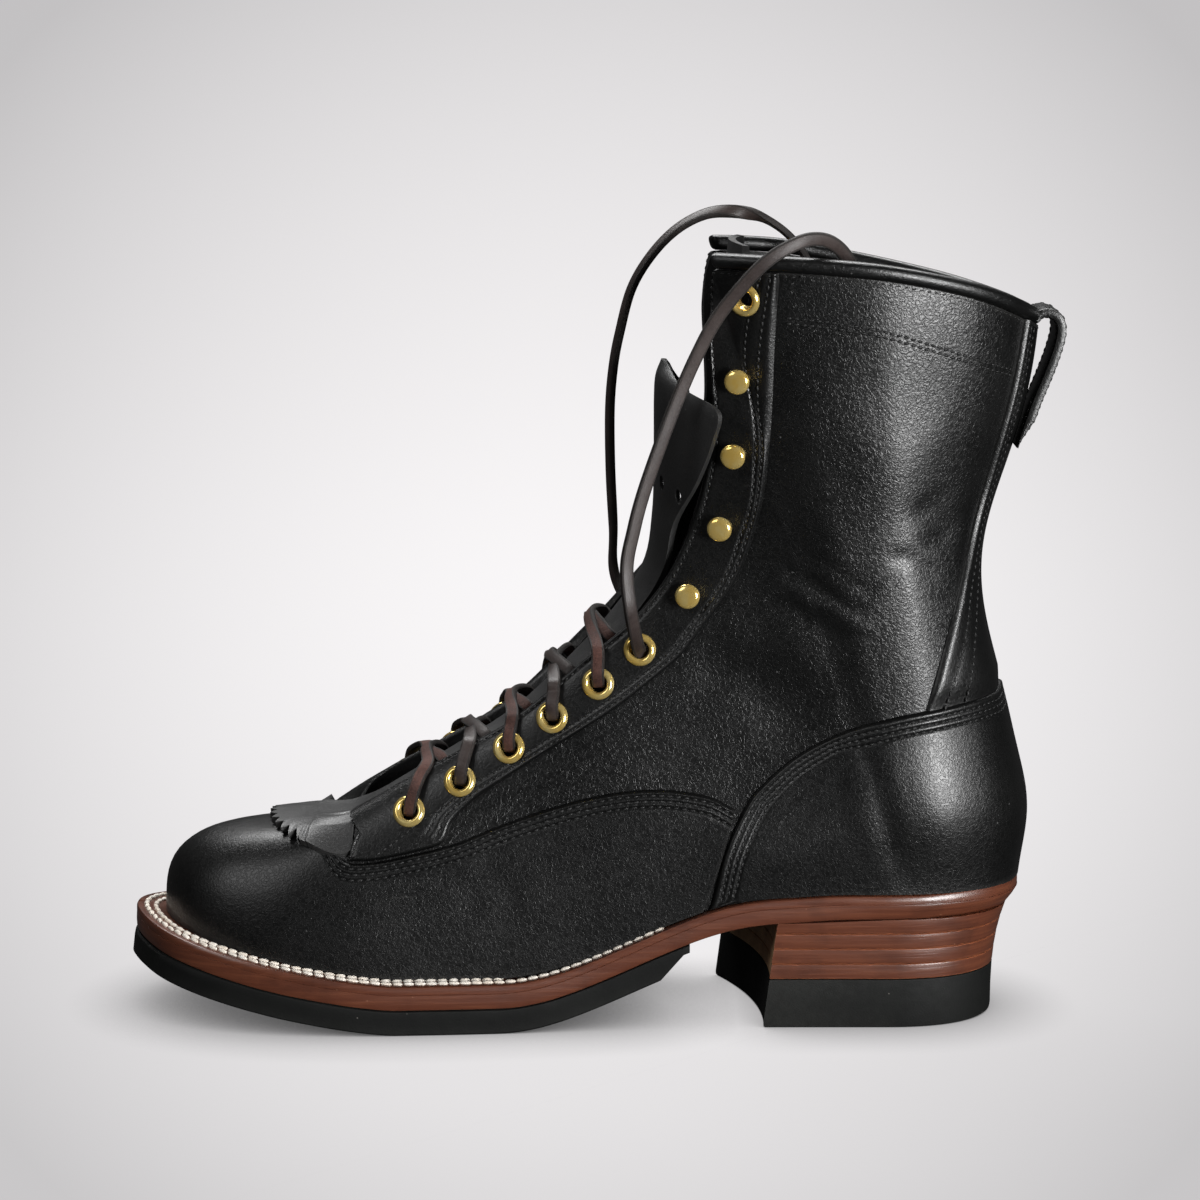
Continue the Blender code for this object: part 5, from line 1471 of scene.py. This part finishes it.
# sole: layers along the foot, each with its edge profile of inset and height
soleLayers = dict(rear=-66.0, bevel=10.0, feather=1.5, gap=0.3, insole=2.5, insoleIn=1.4, sections=190,
                  flareFrom=-212.0, flareLong=30.0, backRise=1.8, riseFrom=10.0, riseLong=40.0,
                  taperFrom=-20.0, taperLong=60.0)


def soleLoft(name, looks, stands, rows, lastX=None, weltCut=0.0, fill=None, rise=None):
    us = np.linspace(0.02, backRib - 0.02, 1200)
    both = []
    for ribsU in (us, ribCount - us):
        form = betweenRibs(ribsU)
        both.append((form[:, :2], outwardOf(ribsU), form[:, 2]))
    middle = both[0][0] + both[0][1] * both[0][2][:, None]
    lengths = np.concatenate([[0], np.cumsum(np.linalg.norm(np.diff(middle, axis=0), axis=1))])
    last = lengths[-1]
    if lastX is not None:
        last = lengths[np.argmax(middle[:, 0] > lastX)]
    ease = np.linspace(0, 1, soleLayers["sections"])
    picks = np.interp(ease * last, lengths, us)
    sides = []
    for sign in (1, -1):
        ribsU = picks if sign == 1 else ribCount - picks
        form, out = betweenRibs(ribsU), outwardOf(ribsU)
        line = []
        for inset, height in rows:
            inset = inset(form[:, 0]) if callable(inset) else inset
            reach = form[:, 2] - weltCut - inset if fill is None else fill - inset + np.zeros(len(ribsU))
            spot = form[:, :2] + out * reach[:, None]
            if lastX is not None:
                spot[:, 0] = np.minimum(spot[:, 0], lastX)
            z = soleCurve(spot[:, 0]) + (height(spot[:, 0]) if callable(height) else height)
            if rise is not None and height > soleForm["midsole"] + 1.0:
                z = z + rise(spot[:, 0])
            line.append(np.concatenate([spot, z[:, None]], axis=1))
        sides.append(np.stack(line, axis=1))
    sections = np.concatenate([sides[0], sides[1][:, ::-1]], axis=1)
    points, faces = loopLoft(sections)
    return addPiece(name, points, faces, looks, stands, sharp=35, turn=True)


def makeSole():
    s, form = soleForm, soleLayers
    gap, mid = form["gap"], s["midsole"]

    def underside(x):
        bevel = np.clip((x - (form["rear"] - form["bevel"])) / form["bevel"], 0, 1)
        return -s["halfSole"] + (s["halfSole"] - gap - form["feather"]) * bevel

    def tread(x):
        return underside(x) + 0.6

    def toeFlare(inset, most):
        return lambda x: inset - most * np.clip((form["flareFrom"] - x) / form["flareLong"], 0, 1)

    def backRise(x):
        return form["backRise"] * np.clip((x - form["riseFrom"]) / form["riseLong"], 0, 1) ** 1.5

    def heelTaper(inset, most):
        return lambda x: inset + most * np.clip((x - form["taperFrom"]) / form["taperLong"], 0, 1)

    soleLoft("halfSole", ("soleRubber",), ("outsole",),
             [(toeFlare(1.0, 1.8), underside), (toeFlare(0.25, 1.8), tread), (toeFlare(0.1, 1.0), -3.0),
              (toeFlare(0.0, 0.5), -1.2), (0.15, -0.5), (0.5, -gap)], lastX=form["rear"])
    soleLoft("midsoleLeather", ("soleEdge",), ("midsole",),
             [(heelTaper(0.7, 3.0), 0.0), (heelTaper(0.2, 2.9), 0.25), (heelTaper(0.0, 2.6), 0.9),
              (heelTaper(-0.1, 1.3), mid / 2), (0.0, mid - 0.7), (0.05, mid - 0.12), (0.2, mid)])
    soleLoft("weltStrip", ("soleEdge",), ("welt",),
             [(0.15, mid + 0.03), (0.03, mid + 0.15), (0.0, mid + 0.9), (0.05, soleTop - 0.9),
              (0.45, soleTop - 0.25), (1.1, soleTop), (3.0, soleTop + 0.02)], weltCut=0.05, rise=backRise)
    soleLoft("leatherInsole", ("insoleLeather",), ("insole",),
             [(0.3, soleTop + gap), (0.0, soleTop + gap + 0.5), (0.0, soleTop + gap + 2.0),
              (0.5, soleTop + gap + form["insole"])], fill=-leatherForm["wall"] - form["insoleIn"])


makeSole()
print("sole layers done")


# stacked heel: outline of radius and rake at each height
heelForm = dict(rubber=17.5, lifts=4, backFloor=41.5, backSeat=50.5, sideFloor=33, sideSeat=36,
                roundFrom=2.0, roundPower=2.3, undershot=3.0, breastLateral=-35.5, breastMedial=-50,
                rake=5, hollow=4.5, roofGap=0.25, backPoints=72, breastPoints=25)


def heelOutline(z, inset=0.0):
    h = heelForm
    lift = (max(z, 0) / (seatHigh + soleTop)) ** h["undershot"]
    back = h["backFloor"] + (h["backSeat"] - h["backFloor"]) * lift - inset
    side = h["sideFloor"] + (h["sideSeat"] - h["sideFloor"]) * lift - inset
    angles = np.linspace(-math.pi / 2, math.pi / 2, h["backPoints"])
    reach = np.abs(np.cos(angles)) ** (2 / h["roundPower"])
    swing = np.sign(angles) * np.abs(np.sin(angles)) ** (2 / h["roundPower"])
    curve = np.stack([h["roundFrom"] + (back - h["roundFrom"]) * reach, side * swing], axis=1)
    share = np.linspace(1, -1, h["breastPoints"])
    middle = (h["breastLateral"] + h["breastMedial"]) / 2
    middle = middle + (h["breastMedial"] - h["breastLateral"]) / 2 * share
    rake = h["rake"] * (1 - z / seatHigh)
    breast = np.stack([middle - rake + h["hollow"] * (1 - share ** 2) + inset, side * share], axis=1)
    plan = np.concatenate([curve[1:-1], breast])
    roof = soleCurve(plan[:, 0]) - h["roofGap"]
    return np.concatenate([plan, np.minimum(z, roof)[:, None]], axis=1)


def makeHeel():
    lift = (seatHigh - heelForm["rubber"]) / heelForm["lifts"]
    around = heelForm["backPoints"] - 2
    count = around + heelForm["breastPoints"]

    def block(name, levels, looks, stands):
        points, faces = loopLoft([heelOutline(z, inset) for z, inset in levels])
        marks = [0] * len(faces)
        if len(looks) > 1:
            breast = range(around, count - 1)
            marks = [int(len(face) == 4 and k % count in breast) for k, face in enumerate(faces)]
        addPiece(name, points, faces, looks, (stands,), marks, sharp=35, turn=True)

    top = heelForm["rubber"]
    block("rubberHeel", [(0, 0.9), (0.5, 0.2), (1.6, 0), (top / 2, 0), (top - 0.9, 0), (top - 0.35, 0.15),
                         (top - 0.15, 0.5)], ("soleRubber",), "heel_top_lift")
    for k in range(heelForm["lifts"]):
        low = top + k * lift
        high = low + lift
        levels = [(low, 0.35), (low + 0.2, 0.06), (low + 0.5, 0), (low + lift / 2, -0.04), (high - 0.6, 0),
                  (high - 0.25, 0.06), (high - 0.08, 0.3)]
        looks = ("heelStack", "breastLeather")
        block(f"heelLift{k + 1}", levels, looks, f"heel_lift_{k + 1}")


makeHeel()
print("heel stack done")


# stitches as joined beads: dark ones in the leather and a pale lockstitch on the welt
weltSewing = dict(rows=(3.6, 6.9), pitch=3.9, long=3.95, wide=1.7, high=1.0, slant=0.20, rear=-36.0,
                  least=1.7, ends=9.6, proud=0.22, slantSpread=0.04, longSpread=0.05, wideSpread=0.06,
                  bulge=1.5, rings=7, sides=10)
darkSewing = dict(slant=0.16, slantSpread=0.05, longSpread=0.06, flat=0.8)
beadFullness = 0.96


def beads(places, runs, outs, longs, wides, flat, rings=5, sides=6):
    places, runs, outs = (np.asarray(a, float) for a in (places, runs, outs))
    sideways = np.cross(outs, runs)
    sideways /= np.linalg.norm(sideways, axis=1)[:, None]
    outs = np.cross(runs, sideways)
    steps = np.linspace(-1, 1, rings + 2)[1:-1]
    widths = np.sqrt(1 - (steps * beadFullness) ** 2)
    turns = np.linspace(0, 2 * math.pi, sides, endpoint=False)
    ringPoints = (places[:, None, None, :]
                  + runs[:, None, None, :] * (longs[:, None] * steps[None, :] / 2)[:, :, None, None]
                  + sideways[:, None, None, :] * (wides[:, None, None] / 2 * widths[None, :, None]
                                                   * np.cos(turns)[None, None, :])[..., None]
                  + outs[:, None, None, :] * (wides[:, None, None] / 2 * flat * widths[None, :, None]
                                              * np.sin(turns)[None, None, :])[..., None])
    tips = np.stack([places - runs * longs[:, None] / 2, places + runs * longs[:, None] / 2], axis=1)
    size = rings * sides + 2
    points = np.concatenate([ringPoints.reshape(len(places), -1, 3), tips], axis=1)
    one = []
    for r in range(rings - 1):
        for k in range(sides):
            k2 = (k + 1) % sides
            one.append((r * sides + k, (r + 1) * sides + k, (r + 1) * sides + k2, r * sides + k2))
    first, last = rings * sides, rings * sides + 1
    caps = [(first, k, (k + 1) % sides) for k in range(sides)]
    caps += [(last, (rings - 1) * sides + (k + 1) % sides, (rings - 1) * sides + k) for k in range(sides)]
    faces = []
    for n in range(len(places)):
        faces += [tuple(k + n * size for k in face) for face in one + caps]
    return points.reshape(-1, 3), faces


def makeDarkStitches():
    d = darkSewing
    places, runs, outs, longs, wides = zip(*stitches)
    outs, runs = np.array(outs), np.array(runs)
    slant = d["slant"] + d["slantSpread"] * dice.standard_normal(len(places))
    runs = runs + np.cross(outs, runs) * slant[:, None]
    runs /= np.linalg.norm(runs, axis=1)[:, None]
    longs = np.array(longs) * (1 + d["longSpread"] * dice.standard_normal(len(places)))
    points, faces = beads(places, runs, outs, longs, np.array(wides), d["flat"])
    addPiece("seamStitches", points, faces, "blackThread", sharp=80, turn=True)


def makeWeltStitches():
    w = weltSewing
    places, runs, outs, longs, wides = [], [], [], [], []
    dense = np.linspace(-w["ends"], w["ends"], 3000)
    form, out = betweenRibs(dense % ribCount), outwardOf(dense % ribCount)
    for number, row in enumerate(w["rows"]):
        reach = form[:, 2] - row
        line = form[:, :2] + out * reach[:, None]
        keep = (reach > w["least"]) & (line[:, 0] < w["rear"])
        z = soleCurve(line[:, 0]) + soleTop
        path = evenly(np.concatenate([line, z[:, None]], axis=1)[keep], w["pitch"] / 2)
        path = path[number::2]
        run = np.gradient(path, axis=0)
        run /= np.linalg.norm(run, axis=1)[:, None]
        side = np.cross([0, 0, 1.0], run)
        turn = w["slant"] * (1 if number else -1) + w["slantSpread"] * dice.standard_normal(len(path))
        slanted = run + side * turn[:, None]
        slanted /= np.linalg.norm(slanted, axis=1)[:, None]
        places.append(path + [0, 0, w["proud"]])
        runs.append(slanted)
        outs.append(np.cross(slanted, np.cross([0, 0, 1.0], slanted)))
        longs.append(w["long"] * (1 + w["longSpread"] * dice.standard_normal(len(path))))
        wides.append(w["wide"] * (1 + w["wideSpread"] * dice.standard_normal(len(path))))
    joined = [np.concatenate(values) for values in (places, runs, outs, longs, wides)]
    points, faces = beads(*joined, w["high"] / w["wide"] * w["bulge"], w["rings"], w["sides"])
    addPiece("weltStitches", points, faces, "whiteThread", sharp=80, turn=True)


makeDarkStitches()
makeWeltStitches()
print(len(stitches), "dark stitches and the welt rows laid")
